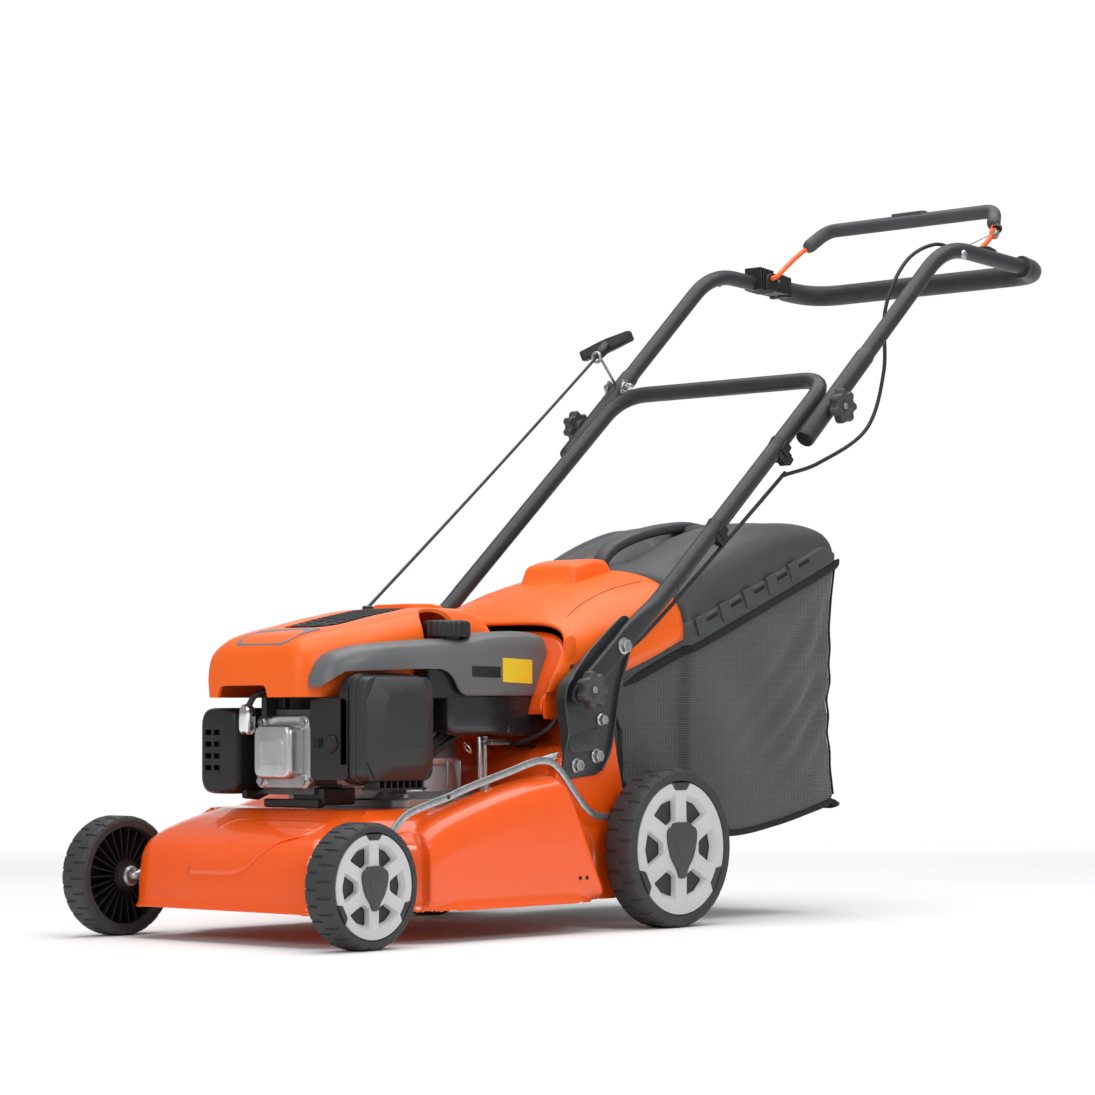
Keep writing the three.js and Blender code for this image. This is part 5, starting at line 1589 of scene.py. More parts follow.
def add_shroud():
    keys = [(-205, 82, 306), (-198, 94, 322), (-186, 102, 333), (-150, 116, 343), (-60, 122.5, 350),
            (0, 122.5, 353), (50, 122.5, 360), (100, 121.5, 362), (134, 119, 360), (144, 116, 357),
            (147, 112, 351)]
    rings = []
    for y in stretches((-205, -180, 8), (-172, 128, 34)) + [133, 138, 142, 145, 147]:
        out, top = smooth_table(keys, [y])[0]
        line = rounded([(-20, 283), (out - 0.6, 283), (out, 300), (out - 1, top - 16),
                        (out - 5, top - 5), (out - 16, top), (-20, top)], 4.2, 4)
        rings.append([(x, y, z) for x, z in line])
    body = as_object("shroud_body", *skin(rings))
    hollow = []
    for ring_points in rings[2:-2]:
        hollow.append([(x - 3 if x > 0 else x, y, z - 3 if z > 290 else z - 16) for x, y, z in ring_points])
    carve(body, as_object("shroud_hollow", *skin(hollow)))
    arch_line = [(-212, 262), (-212, 280), (-206, 292), (-198, 302), (-188, 309), (-172, 312), (-62, 315),
                 (-40, 313), (-28, 306), (-21, 297), (-14, 288), (-4, 283.5), (2, 280), (2, 262)]
    line = smooth_spline(arch_line, 70)
    carve(body, as_object("shroud_arch", *side_shape(line, 30, 150)))
    cover = []
    for y in stretches((-219, -200, 6), (-192, 110, 30), (114, 130, 5)):
        right, left, crown, edge = smooth_table(COVER_KEYS, [y])[0]
        section = cover_section(y, right - 1, left + 0.8, crown + 1, edge, 250)
        cover.append([(x, y, z) for x, _, z in section])
    carve(body, as_object("shroud_gap", *skin(cover)))
    carve(body, as_object("shroud_filler", *turned([(0, 300), (20, 300), (20, 400), (0, 400)], CAP_AT, 48)))
    right_box = front_shape([(-200, 240), (20, 240), (20, 420), (-200, 420)], -240, 104)
    carve(body, as_object("shroud_right", *right_box))
    finish("shroud_shell", baked(body), SHROUD, "mower", smooth=35, bevel=0.7, replaces="side_shroud")


def add_blank_plates():
    """Two plates without any writing on the side of the shroud."""
    card = rounded([(5, 306), (54, 305), (54, 318), (5, 319)], 1.2, 2)
    plate("rating_plate", card, "x", 122.0, 122.9, BLACK, "mower", bevel=0.2)
    note = rounded([(58, 300), (111, 298), (111, 327), (58, 329)], 1.2, 2)
    rows = [[(x_at(y) + d, y, z) for y, z in dense(note, 4)] for d in (-0.6, 0.5)]
    skinned("caution_label", rows, LABEL, "mower", smooth=30)


def x_at(y):
    """How far out the shroud's side is at y near its rear end."""
    return smooth_table([(50, 122.5), (100, 121.5), (134, 119), (144, 116)], [y])[0][0]


def add_tank():
    main = rounded([(66, -30), (117, -30), (118, 60), (118, 128), (96, 136), (46, 136), (46, 98), (66, 70)],
                   12, 6)
    rows = []
    for z, grow in ((236, 0.86), (238, 0.93), (242, 0.975), (248, 0.995), (262, 1.0), (282, 1.0)):
        rows.append([(x, y, z) for x, y in grown(main, (88, 52), grow)])
    skinned("tank_body", rows, TANK, "mower", smooth=50, replaces="fuel_tank")
    lobe = rounded([(62, 60), (118, 60), (119, 140), (112, 156), (96, 159), (74, 150), (62, 132)], 16, 6)
    rows = []
    for z, grow in ((234, 0.84), (236.5, 0.93), (241, 0.985), (247, 1.0), (259, 1.0), (265, 0.97),
                    (268, 0.9), (269.4, 0.78)):
        rows.append([(x, y, z) for x, y in grown(lobe, (90, 110), grow)])
    skinned("tank_lobe", rows, TANK, "mower", smooth=50)
    upper = rounded([(84, -60), (115, -60), (115, 98), (84, 98)], 8, 4)
    rows = [[(x, y, z) for x, y in upper] for z in (281, 326)]
    skinned("tank_upper", rows, TANK, "mower", smooth=40)
    lathe("tank_neck", [(0, 318), (17, 318), (17, 360), (0, 360)], "z", (*CAP_AT, 0), BLACK, "mower",
          segments=40)


def add_fuel_cap():
    rings = []
    for z, r, deep in ((353.4, 27.4, 0), (354.2, 28.6, 0.7), (356, 28.8, 1.0), (368, 28.8, 1.0),
                       (370.4, 28.2, 0.7), (372.4, 26.4, 0.2), (373.2, 23.5, 0), (373.0, 21, 0),
                       (371.6, 19.4, 0),
                       (371.6, 6, 0)):
        ring = []
        for k in range(180):
            a = 2 * math.pi * k / 180
            wave = max(0.0, math.cos(20 * a)) ** 0.5
            out = r - 1.1 * deep * wave
            ring.append((CAP_AT[0] + out * math.cos(a), CAP_AT[1] + out * math.sin(a), z))
        rings.append(ring)
    skinned("cap_body", rings, BLACK, "fuel_cap", smooth=40, replaces="fuel_cap")
    slabs = [((*CAP_AT, 371.6), (15, 0, 0), (0, 2.4, 0), (0, 0, 1.1))]
    slabbed("cap_bar", slabs, BLACK, "fuel_cap", smooth=30, bevel=0.6)


def add_base_flange():
    flange = rounded([(-92, -84), (92, -84), (96, 60), (60, 92), (-60, 92), (-96, 60)], 26, 6)
    rows = [[(x * g, y * g, z) for x, y in flange]
            for z, g in ((152.3, 1), (160, 1), (163, 0.97), (165, 0.9), (170, 0.84))]
    skinned("base_flange", rows, ALUMINIUM, "mower", smooth=40, replaces="crankcase")


def add_crankcase():
    profile = [(0, 162), (79, 162), (77, 172), (75.5, 196), (74.5, 200), (76, 203), (76, 209), (74, 212),
               (71, 232), (64, 240), (36, 250), (34, 256), (34, 292), (0, 292)]
    lathe("case_bell", profile, "z", (0, 0, 0), ALUMINIUM, "mower", segments=72, smooth=30)
    slabs = []
    for k in range(14):
        a = 2 * math.pi * k / 14 + 0.1
        slabs.append(((77 * math.cos(a), 77 * math.sin(a), 186), (2.6 * math.cos(a), 2.6 * math.sin(a), 0),
                      (-1.5 * math.sin(a), 1.5 * math.cos(a), 0), (0, 0, 20)))
    slabbed("case_ribs", slabs, ALUMINIUM, "mower", smooth=30, bevel=0.8)


def add_barrel():
    slabs = [((0, -96, 200), (40, 0, 0), (0, 46, 0), (0, 0, 38))]
    for i in range(6):
        slabs.append(((0, -96, 176 + i * 15), (47, 0, 0), (0, 44, 0), (0, 0, 1.7)))
    slabbed("barrel_fins", slabs, ALUMINIUM, "mower", smooth=30, bevel=0.8)
    for i, (x, y) in enumerate(((84, -70), (-84, -70), (84, 56), (-84, 56), (66, 78), (10, -88))):
        hex_bolt(f"base_bolt_{i}", (x * 0.97, y * 0.97, 160), "z", 5, 7, "mower")
    lathe("brake_boss", [(0, 160), (8, 160), (7, 182), (0, 182)], "z", (88, 62, 0), ALUMINIUM, "mower",
          segments=28)


def add_cylinder_head():
    slabs = [((1, -161, 218), (43, 0, 0), (0, 19.5, 0), (0, 0, 50))]
    for i in range(6):
        slabs.append(((1, -158, 178 + i * 16), (46.5, 0, 0), (0, 21, 0), (0, 0, 1.8)))
    slabbed("head_fins", slabs, IRON, "mower", smooth=30, bevel=0.9,
           replaces="cylinder_head")


HEAD_FRONT_Y = -181


def add_rocker_cover():
    y = HEAD_FRONT_Y
    flange = rounded([(-43, 176), (45, 176), (45, 260), (-43, 260)], 12, 6)
    step = rounded([(-37, 181), (38, 181), (38, 255), (-37, 255)], 14, 6)
    dome = rounded([(-32, 186), (31, 186), (31, 250), (-32, 250)], 12, 6)
    rows = [[(x, y - d, z) for x, z in flange] for d in (0.4, 5.4)]
    rows.append([(x, y - 6.3, z) for x, z in grown(flange, (1, 218), 0.98)])
    rows.append([(x, y - 6.3, z) for x, z in step])
    rows.append([(x, y - 4.9, z) for x, z in dome])
    for d, g in ((10, 1.0), (20, 0.985), (23.5, 0.955), (25.4, 0.9), (25.8, 0.84), (25.8, 0.2)):
        rows.append([(x, y - d, z) for x, z in grown(dome, (-0.5, 218), g)])
    skinned("rocker_body", rows, ALUMINIUM_BRIGHT, "mower", smooth=40, replaces="rocker_cover")
    badge = rounded([(-20, 203), (20, 203), (20, 232), (-20, 232)], 5, 5)
    rows = [[(x * g, y - d, 217.5 + (z - 217.5) * g) for x, z in badge]
            for d, g in ((25.5, 1), (26.6, 0.97), (26.6, 0.86), (26.0, 0.83), (26.0, 0.2))]
    skinned("rocker_badge", rows, ALUMINIUM_BRIGHT, "mower", smooth=30)
    for i, (x, z) in enumerate(((-35, 184), (37, 184), (37, 252), (-35, 252))):
        lathe(f"rocker_lug_{i}", [(0, 0), (8.6, 0), (8.6, -3), (7.6, -4), (0, -4)], "y", (x, y - 4.6, z),
              ALUMINIUM_BRIGHT, "mower", segments=28)
        hex_bolt(f"rocker_bolt_{i}", (x, y - 8, z), "y", 5.0, 5.2, "mower", sign=-1)


def add_exhaust():
    y = HEAD_FRONT_Y
    outline = [(-130, 168), (-64, 168), (-64, 270), (-130, 270)]

    def loop(shrink, radius):
        return rounded([(x + (shrink if x < -100 else -shrink), z + (shrink if z < 200 else -shrink))
                        for x, z in outline], radius, 6)

    rows = [[(x, yy, z) for x, z in loop(s, r)] for yy, s, r in (
        (-84, 0, 18), (y - 12, 0, 18), (y - 18, 1.2, 18), (y - 21.2, 4, 17), (y - 22, 8, 15))]
    body = as_object("guard_body", *skin(rows))
    rows = [[(x, yy, z) for x, z in loop(s, 15)] for yy, s in ((-78, 3), (y - 14, 3), (y - 19, 6))]
    carve(body, as_object("guard_hollow", *skin(rows)))
    slots = []
    for x in (-119.5, -104):
        for z in (199, 213, 227, 241):
            slots.append(((x + 5, y - 20, z), (5.4, 0, 0), (0, 9, 0), (0, 0, 3.1)))
    carve(body, as_object("guard_slots", *blocks_of(slots)))
    finish("guard_shell", baked(body), BLACK, "mower", smooth=35, bevel=0.5, replaces="muffler_guard")
    can = rounded([(-118, -192), (-74, -192), (-74, -96), (-118, -96)], 14, 6)
    rows = [[(x, yy, z) for x, yy in grown(can, (-96, -144), g)]
            for z, g in ((183.5, 0.9), (186, 0.98), (190, 1), (218, 1), (219.5, 1.015), (223, 1.015),
                         (224.5, 1), (252, 1), (256, 0.98), (258, 0.9))]
    skinned("silencer_can", rows, IRON, "mower", smooth=40, replaces="muffler")
    foot = [(-58, -196, 168), (-56, -176, 166), (-48, -168, 172)]
    tube("guard_foot", foot, 5, BLACK, "mower", sides=16, smooth=50)


def add_spark_plug():
    y = HEAD_FRONT_Y
    cable = [(-53, y, 243), (-50, y - 12, 250), (-46, y - 22, 258)]
    tube("plug_end", smooth_spline(cable, 14), 7.0, BLACK, "mower", sides=24,
         smooth=60)
    boot = [np.array([-47, y - 21, 240.0]) + np.array([6, -5, 33.0]) * t for t in np.linspace(0, 1, 12)]
    square = rounded([(-1, -0.8), (1, -0.8), (1, 0.8), (-1, 0.8)], 0.5, 5)
    tube("plug_boot", boot, [6.5, 8.4, 8.8, 8.9, 9.0, 9.0, 9.0, 8.9, 8.6, 8.2, 7.4, 5.2], CHROME, "mower",
         section=square, smooth=50, replaces="spark_plug_boot")
    lead = [(-40, y - 25, 272), (-34, y - 20, 284), (-26, y - 6, 290), (-20, y + 20, 292)]
    tube("plug_lead", smooth_spline(lead, 30), 3.6, CORD, "mower", sides=16,
         smooth=60)
    bracket = [((-24, y - 6, 270), (4, 0, 0), (0, 10, 0), (0, 0, 13)),
               ((-18, y + 8, 276), (9, 0, 0), (0, 4, 0), (0, 0, 7))]
    slabbed("lead_bracket", bracket, BLACK, "mower", smooth=30, bevel=1.2)


def add_air_filter():
    plate("filter_flange", rounded([(50, 186), (112, 186), (112, 281), (50, 281)], 8, 5), "y", -192, -186.5,
          BLACK, "mower", bevel=0.9, replaces="air_filter_base")
    outline = rounded([(-192, 180), (-72, 180), (-72, 309), (-192, 309)], 24, 6)
    rows = [[(x, y, z) for y, z in grown(outline, (-132, 244.5), g)]
            for x, g in ((96, 0.93), (98, 0.985), (101, 1.0), (111, 1.0), (112, 0.985))]
    skinned("filter_back", rows, BLACK, "mower", smooth=40)
    lathe("filter_boss", [(0, 0), (11, 0), (11, -2.5), (9.6, -4), (0, -4)], "y", (86, -191.5, 228), BLACK,
          "mower", segments=8)
    # Painted shadow: dark slabs standing for the shade in the filter's socket.
    slabs = [((64, -192.4, 229), (6, 0, 0), (0, 0.8, 0), (0, 0, 5)),
             ((66.5, -193.2, 229), (1.2, 0, 0), (0, 1.2, 0), (0, 0, 5.5))]
    slabbed("filter_socket", slabs, HOLLOW_SHADE, "mower", smooth=0)
    face = [(-188, 208), (-172, 184), (-93, 184), (-77, 208), (-77, 280), (-93, 305), (-172, 305),
            (-188, 280)]
    base = dense(rounded([(-190, 182), (-75, 182), (-75, 307), (-190, 307)], 16, 6), 6)

    def ring_at(x, grow):
        return [(x, y, z) for y, z in grown(base, (-132.5, 244.5), grow)]

    rows = [ring_at(112.3, 0.995), ring_at(113, 1.0), ring_at(121, 1.0), ring_at(122, 0.995),
            ring_at(122.4, 0.975), ring_at(136, 0.965), ring_at(137.4, 0.955)]
    skinned("filter_body", rows, FILTER, "mower", smooth=32, replaces="air_filter_cover")
    crown_low = [(y * 0.985 - 1.99, 244.5 + (z - 244.5) * 0.985) for y, z in face]
    top = [(-166, 214), (-158, 202), (-106, 202), (-98, 214), (-98, 272), (-106, 287), (-158, 287),
           (-166, 272)]
    rows = [[(136, y, z) for y, z in crown_low], [(138.5, y, z) for y, z in crown_low],
            [(149.6, y, z) for y, z in top],
            [(150, y, z) for y, z in grown(top, (-132.5, 244.5), 0.97)]]
    skinned("filter_crown", rows, FILTER, "mower", smooth=20, bevel=0.9)
    for z in (224, 268):
        slabs = [((150, -132, z), (0.35, 0, 0), (0, 34, 0), (0, 0, 0.7))]
        slabbed(f"filter_line_{z}", slabs, FILTER, "mower", smooth=0, bevel=0.2)
    slabs = []
    for i in range(8):
        slabs.append(((128, -168 + i * 10.5, 179.5), (12 - 0.4 * i, 0, 0), (0, 1.3, 0), (0, 0, 5)))
    slabs.append(((127, -131, 175.4), (12, 0, 0), (0, 42, 0), (0, 0, 1.3)))
    slabs.append(((120, -116, 172), (5, 0, 0), (0, 8, 0), (0, 0, 3)))
    slabbed("filter_teeth", slabs, BLACK, "mower", smooth=30, bevel=0.5)


def add_carburettor():
    lathe("carb_throat", [(0, 38.5), (12, 38.5), (12, 56), (17, 58), (17, 96), (0, 96)], "x",
          (0, -118, 226), ALUMINIUM, "mower", segments=40, replaces="carburettor")
    lathe("carb_bowl",
          [(0, 188), (11, 188), (13.6, 191), (14.4, 196), (14.4, 214), (15.6, 216), (15.6, 220), (0, 220)],
          "z", (74, -152, 0), ALUMINIUM_BRIGHT, "mower", segments=40)
    slabs = [((74, -146, 226), (20, 0, 0), (0, 20, 0), (0, 0, 8)),
             ((62, -164, 206), (8, 0, 0), (0, 9, 0), (0, 0, 10)),
             ((88, -160, 200), (7, 0, 0), (0, 7, 0), (0, 0, 8)),
             ((44, -158, 212), (5, 0, 0), (0, 12, 0), (0, 0, 16))]
    slabbed("carb_body", slabs, ALUMINIUM_BRIGHT, "mower", smooth=30, bevel=2.2)
    hex_bolt("carb_drain", (70, -172, 192), "y", 4.6, 7, "mower", sign=-1)
    hex_bolt("carb_bowl_nut", (74, -152, 188), "z", 5, 6, "mower", sign=-1)
    slabs = [((8, -178, 158), (46, 0, 0), (0, 6, 0), (0, 0, 5)),
             ((30, -150, 166), (26, 0, 0), (0, 26, 0), (0, 0, 10))]
    slabbed("sump_bracket", slabs, BLACK, "mower", smooth=30, bevel=2.0)


def add_fuel_hoses():
    hoses = [
        [(100, -84, 238), (112, -66, 234), (104, -46, 222), (92, -26, 232), (90, -10, 240)],
        [(98, -92, 226), (112, -74, 222), (106, -52, 212), (94, -30, 224), (92, -4, 238)],
        [(92, -100, 216), (106, -84, 210), (108, -60, 204), (98, -38, 214), (96, 4, 236)],
    ]
    for i, hose in enumerate(hoses):
        tube(f"fuel_hose_{i}", smooth_spline(hose, 40), 3.9, CORD, "mower", sides=16, smooth=60)
    rod = [(90, 50, 234), (90, 51, 222), (90, 52, 190), (90, 52, 184)]
    tube("stop_rod", rod, 3.0, CHROME, "mower", sides=16, smooth=60)
    clip_wire = [(98, 16, 228), (103, 20, 221), (101, 25, 215), (97, 21, 219), (99, 15, 225)]
    tube("hose_clip", smooth_spline(clip_wire, 30), 1.0, CHROME, "mower", sides=8, smooth=60)


def add_brake_lever():
    outline = rounded([(81, 54), (95, 54), (97, 96), (85, 96)], 5, 5)
    plate("brake_arm", outline, "z", 228, 231, ZINC, "brake_lever", bevel=0.6, replaces="brake_lever")
    lathe("brake_post", [(0, 182), (3.5, 182), (3.5, 230), (0, 230)], "z", (88, 62, 0), CHROME,
          "brake_lever", segments=20)
    hex_bolt("brake_nut", (88, 62, 231), "z", 4.6, 4, "brake_lever")
    slabs = [((100, 84, 226), (3, 0, 0), (0, 26, 0), (0, 0, 2)),
             ((92, 62, 226), (10, 0, 0), (0, 3, 0), (0, 0, 1.4))]
    slabbed("brake_plate", slabs, ZINC, "mower", smooth=30, bevel=0.8)


add_top_cover()
add_grille()
add_cover_panel()
add_shroud()
add_blank_plates()
add_tank()
add_fuel_cap()
add_base_flange()
add_crankcase()
add_barrel()
add_cylinder_head()
add_rocker_cover()
add_exhaust()
add_spark_plug()
add_air_filter()
add_carburettor()
add_fuel_hoses()
add_brake_lever()


# ------------------------------------------------------------------ grass bag

def seam_z(y):
    return 290 + 0.4 * (y - 215)


# y, half width, height of the crown, squareness
LID_KEYS = [
    (215, 151, 384, 2.8), (270, 153, 406, 2.8), (346, 157, 430, 2.8), (352, 160, 434, 3.0),
    (358, 166, 443, 3.3), (435, 170, 480, 4.2), (500, 171.5, 502, 5.0), (546, 172, 512, 5.6),
    (600, 172, 514, 6), (628, 171.5, 509, 6), (642, 170, 497, 6), (650, 167.5, 474, 6),
]


def lid_half(y):
    return smooth_table([(k[0], k[1]) for k in LID_KEYS], [y])[0][0]


def add_lid():
    rings = []
    ys = stretches((215, 340, 18), (345, 362, 8), (370, 626, 36)) + [632, 637, 641, 645, 648, 650]
    for y in ys:
        half, crown, power = smooth_table(LID_KEYS, [y])[0]
        profile = arch(half, seam_z(y), crown, power, steps=72, y=y)
        dip = smooth_table([(380, 0), (394, 1), (512, 1), (530, 0)], [y])[0][0]
        floor = 436 + (y - 384) * 0.11
        ring = []
        for x, yy, z in profile:
            near = 1 / (1 + math.exp((abs(x) - 33) / 1.6))
            sunk = min(z, floor + 3)
            shoulder = 3.0 * math.exp(-((abs(x) - 104) / 9.0) ** 2) if y > 365 and z > crown - 30 else 0
            ring.append((x, yy, z + (sunk - z) * near * dip - shoulder * min(1, (y - 365) / 40)))
        rings.append(ring)
    rear = rings[-1]
    for t in (0.04, 0.3, 0.7, 0.98):
        rings.append([(x * (1 - t), 650 + 1.5 * min(1, t * 6), seam_z(650) + (z - seam_z(650)) * (1 - t))
                      for x, _, z in rear])
    shell = skinned("lid_shell", rings, LID, "grass_bag", closed=False, caps=False, smooth=50,
                    replaces="bag_lid")
    thicken(shell, 3, 1 if faces_in(shell) else -1)


def add_lid_handle():
    line = [(366, 436, 11, 7), (372, 460, 11.5, 7.5), (388, 477, 12, 8), (412, 489, 12.5, 8),
            (452, 501, 13, 7.6), (500, 510, 13, 7.4), (540, 514, 13, 7), (566, 513, 12, 5)]
    table = [(i, *row) for i, row in enumerate(line)]
    stations = []
    for y, z, wide, high in smooth_table(table, np.linspace(0, 7, 60)):
        stations.append((0, y, z - high * 0.6, wide, high, 3.0))
    skinned("lid_handle", morph_rings(stations, 36), LID, "grass_bag", smooth=60)


def add_lid_rims():
    def rim(label, side):
        rings = []
        for y in np.linspace(219, 646, 60):
            half, low = lid_half(y), seam_z(y)
            bulge = 3.2 if y > 356 else 2.2
            tall = 1 - 0.62 * smooth_table([(0, 0), (612, 0), (646, 1)], [y])[0][0]
            rings.append([(side * (half - 2), y, low), (side * (half + bulge), y, low + 0.8),
                          (side * (half + bulge + 0.4), y, low + 14 * tall),
                          (side * (half + bulge), y, low + 26 * tall),
                          (side * (half + 0.6), y, low + 30 * tall),
                          (side * (half - 2), y, low + 31 * tall)])
        skinned(f"lid_rim_{label}", rings, LID, "grass_bag", smooth=40, bevel=0.6)
        slope = math.atan(0.4)
        ahead = np.array([0, math.cos(slope), math.sin(slope)])
        up = np.array([0, -math.sin(slope), math.cos(slope)])
        tabs, slots = [], []
        for k in range(8):
            y = 250 + k * 46
            half = lid_half(y) + (3.4 if y > 356 else 2.4)
            centre = np.array([side * half, y, seam_z(y)])
            tabs.append((centre + up * 19 - ahead * 10, (2.0, 0, 0), ahead * 10, up * 11.5))
            tabs.append((centre + up * 17 + ahead * 12, (1.7, 0, 0), ahead * 13, up * 1.4))
            slots.append((centre + up * 21 + ahead * 12, (0.7, 0, 0), ahead * 12, up * 2.3))
        slabbed(f"lid_tabs_{label}", tabs, LID, "grass_bag", smooth=30, bevel=0.8)
        # Painted shadow: dark slabs standing for the shade in the tabs' slots.
        slabbed(f"lid_slots_{label}", slots, HOLLOW_SHADE, "grass_bag", smooth=0)
        ear = rounded([(219, 296), (262, 312), (262, 284), (250, 250), (236, 240), (226, 262)], 6, 4)
        side_plate(f"lid_ear_{label}", ear, side, 151, 155.5, LID, "grass_bag", bevel=0.9)

    both_sides(rim)


# y, half width, height of the bottom
CLOTH_KEYS = [
    (238, 150.5, 182), (268, 152, 150), (300, 154, 129), (346, 156.5, 115), (362, 165, 111),
    (435, 170, 104), (520, 171.5, 114), (600, 171.5, 130), (632, 169.5, 137), (641, 168, 140),
]


def cloth_point(y, s, side):
    """A point of the side wall a share s of the way from the seam down to the bottom."""
    half, bottom = smooth_table(CLOTH_KEYS, [y])[0]
    top = seam_z(y) - 1
    z = top + (bottom + 1.5 - top) * s
    slack = math.sin(math.pi * min(1.0, s)) ** 0.8
    rear = smooth_table([(238, 0), (560, 0.15), (650, 1)], [y])[0][0]
    away = math.hypot(650 - y, 464 - z)
    turn = math.atan2(464 - z, 650 - y)
    pull = 2.2 * math.sin(15 * turn + 0.6) * math.exp(-((away - 150) / 130) ** 2)
    reach = ((y - 575) / 105) ** 2 + ((z - 265) / 95) ** 2
    pull += 3.2 * math.sin(2 * math.pi * (z - 0.85 * y) / 47) * math.exp(-reach)
    soft = 1.6 * math.sin(y * 0.045 + z * 0.021) + 1.1 * math.sin(y * 0.021 - z * 0.05 + 1.0)
    inward = slack * (3.0 + 5.0 * rear + pull + soft)
    back = -slack * 9.0 * rear + (1 - s) * 6.0 * rear
    return (side * (half - inward), y + back, z)


def add_cloth():
    ys = stretches((238, 340, 22), (346, 364, 7), (372, 632, 56)) + [637, 641, 644]
    steps = 56
    rings = []
    for y in ys:
        half, bottom = smooth_table(CLOTH_KEYS, [y])[0]
        right = [cloth_point(y, s, -1) for s in np.linspace(0, 0.965, steps)]
        left = [cloth_point(y, s, 1) for s in np.linspace(0, 0.965, steps)]
        floor = []
        for x in np.linspace(half - 7, -half + 7, 44):
            sag = 2.4 * math.cos(x / half * math.pi / 2) * (1 + 0.4 * math.sin(y * 0.06))
            floor.append((x, right[-1][1], bottom + 0.6 + 1.2 - sag))
        rings.append(left + floor + list(reversed(right)))
    rear = rings[-1]
    for t in np.linspace(0.02, 1, 22):
        ring = []
        for x, y, z in rear:
            bulge = 2.0 * math.sin(math.pi * min(1, t)) * math.sin(z * 0.045 + x * 0.03)
            ring.append((x * (1 - t), y + 3.0 * min(1, 12 * t) + bulge - 3.0 * math.sin(math.pi * t * 0.5),
                         463 + (z - 463) * (1 - t)))
        rings.append(ring)
    cloth = skinned("cloth_shell", rings, CLOTH, "grass_bag", closed=False, caps=False, smooth=180,
                    replaces="bag_cloth")
    thicken(cloth, 1.6, 0)


def add_hems():
    def hem(label, side):
        seam = []
        for y in np.linspace(240, 644, 70):
            x, yy, z = cloth_point(y, 0.0, side)
            seam.append((x + side * 1.6, yy, z - 3.0))
        corner = np.array(seam[-1])
        seam += [tuple(corner + np.array([side * 0.8, 4, 3.0])),
                 tuple(corner + np.array([side * 1.5, 7, 7]))]
        widths = [5.0] * (len(seam) - 2) + [4.0, 1.4]
        tube(f"hem_top_{label}", seam, widths, HEM, "grass_bag", sides=16, smooth=60,
             section=[(a * 0.7, b * 1.25) for a, b in circle(1, 16)])
        low = []
        tip = (side * 172, 652, 141.5)
        for y in np.linspace(250, 640, 60):
            x, yy, z = cloth_point(y, 0.985, side)
            low.append((x - side * 0.4, yy, z))
        corner = np.array(low[-1])
        low += [tuple((corner + np.array(tip)) / 2), tip]
        widths = [3.8] * (len(low) - 2) + [3.6, 1.6]
        tube(f"hem_low_{label}", low, widths, HEM, "grass_bag", sides=16, smooth=60)
        upright = [cloth_point(648, s, side) for s in np.linspace(0.02, 0.96, 40)]
        upright = [(x + side * 0.3, y - 0.5, z) for x, y, z in upright]
        tube(f"hem_rear_{label}", upright, 1.5, HEM, "grass_bag", sides=10, smooth=60)
        for name, near, far, out in (("outer", 222, 243, 2.4), ("inner", 200, 219, 1.2)):
            rows = []
            for z in np.linspace(284, 166, 40):
                x = side * (152 - 2.0 * math.sin(math.pi * (284 - z) / 118))
                wave = 1.2 * math.sin(z * 0.09 + near)
                rows.append([(x - side, near + wave, z), (x + side * out, near + 2 + wave, z),
                             (x + side * out, far - 2 + wave, z), (x + side, far + wave, z),
                             (x - side, far + wave, z)])
            skinned(f"hem_front_{name}_{label}", rows, HEM, "grass_bag", smooth=40, bevel=0.6)

    both_sides(hem)


def add_bag_ends():
    """The hems across the bag's rear and front, and the wire round its mouth."""
    across = [(x, 644 + 3 * math.cos(x / 168 * math.pi / 2), 139 + 1.2 * math.cos(x / 168 * math.pi / 2))
              for x in np.linspace(164, -164, 50)]
    across = [(172, 652, 141.5), (168.5, 649, 140.5)] + across + [(-168.5, 649, 140.5), (-172, 652, 141.5)]
    tube("hem_low_rear", across, [1.6, 3.2] + [3.4] * 50 + [3.2, 1.6], HEM, "grass_bag", sides=16,
         smooth=60)
    mouth = bent([(0, 229, 188), (150, 229, 188), (150, 229, 252), (-150, 229, 252), (-150, 229, 188),
                  (0, 229, 188)], 8, 5)
    tube("mouth_wire", mouth, 3.0, STEEL, "grass_bag", sides=18, smooth=60, replaces="bag_frame")
    low_front = []
    for x in np.linspace(150, -150, 30):
        low_front.append((x, 240, 183 - 1.0 * math.cos(x / 150 * math.pi / 2)))
    tube("hem_mouth_low", low_front, 3.4, HEM, "grass_bag", sides=14, smooth=60)


add_lid()
add_lid_handle()
add_lid_rims()
add_cloth()
add_hems()
add_bag_ends()


# ------------------------------------------------- turning parts and hidden walls

def add_shaft():
    lathe("shaft_body",
          [(0, 72), (9.4, 72), (10.9, 73.6), (10.9, 300), (9, 302), (9, 330), (6, 331), (6, 341), (5, 342),
           (0, 342)],
          "z", (0, 0, 0), IRON, "crank", segments=48, replaces="crankshaft")


def add_flywheel():
    rim = [(11.4, 303), (60, 303), (64, 302), (70, 302), (72, 304), (72, 317), (70.5, 319), (66, 319),
           (62, 315), (30, 315), (28, 318.6), (14, 318.6), (11.4, 317)]
    lathe("flywheel_disc", rim, "z", (0, 0, 0), IRON, "crank", segments=96, replaces="flywheel")
    vanes = []
    for k in range(20):
        a = 2 * math.pi * k / 20
        outward = np.array([math.cos(a + 0.25), math.sin(a + 0.25), 0])
        across = np.array([-outward[1], outward[0], 0])
        centre = 50 * np.array([math.cos(a), math.sin(a), 0]) + np.array([0, 0, 322])
        vanes.append((tuple(centre), outward * 17, across * 1.3, (0, 0, 7.5)))
    slabbed("flywheel_vanes", vanes, ALUMINIUM, "crank", smooth=20, bevel=0.5)


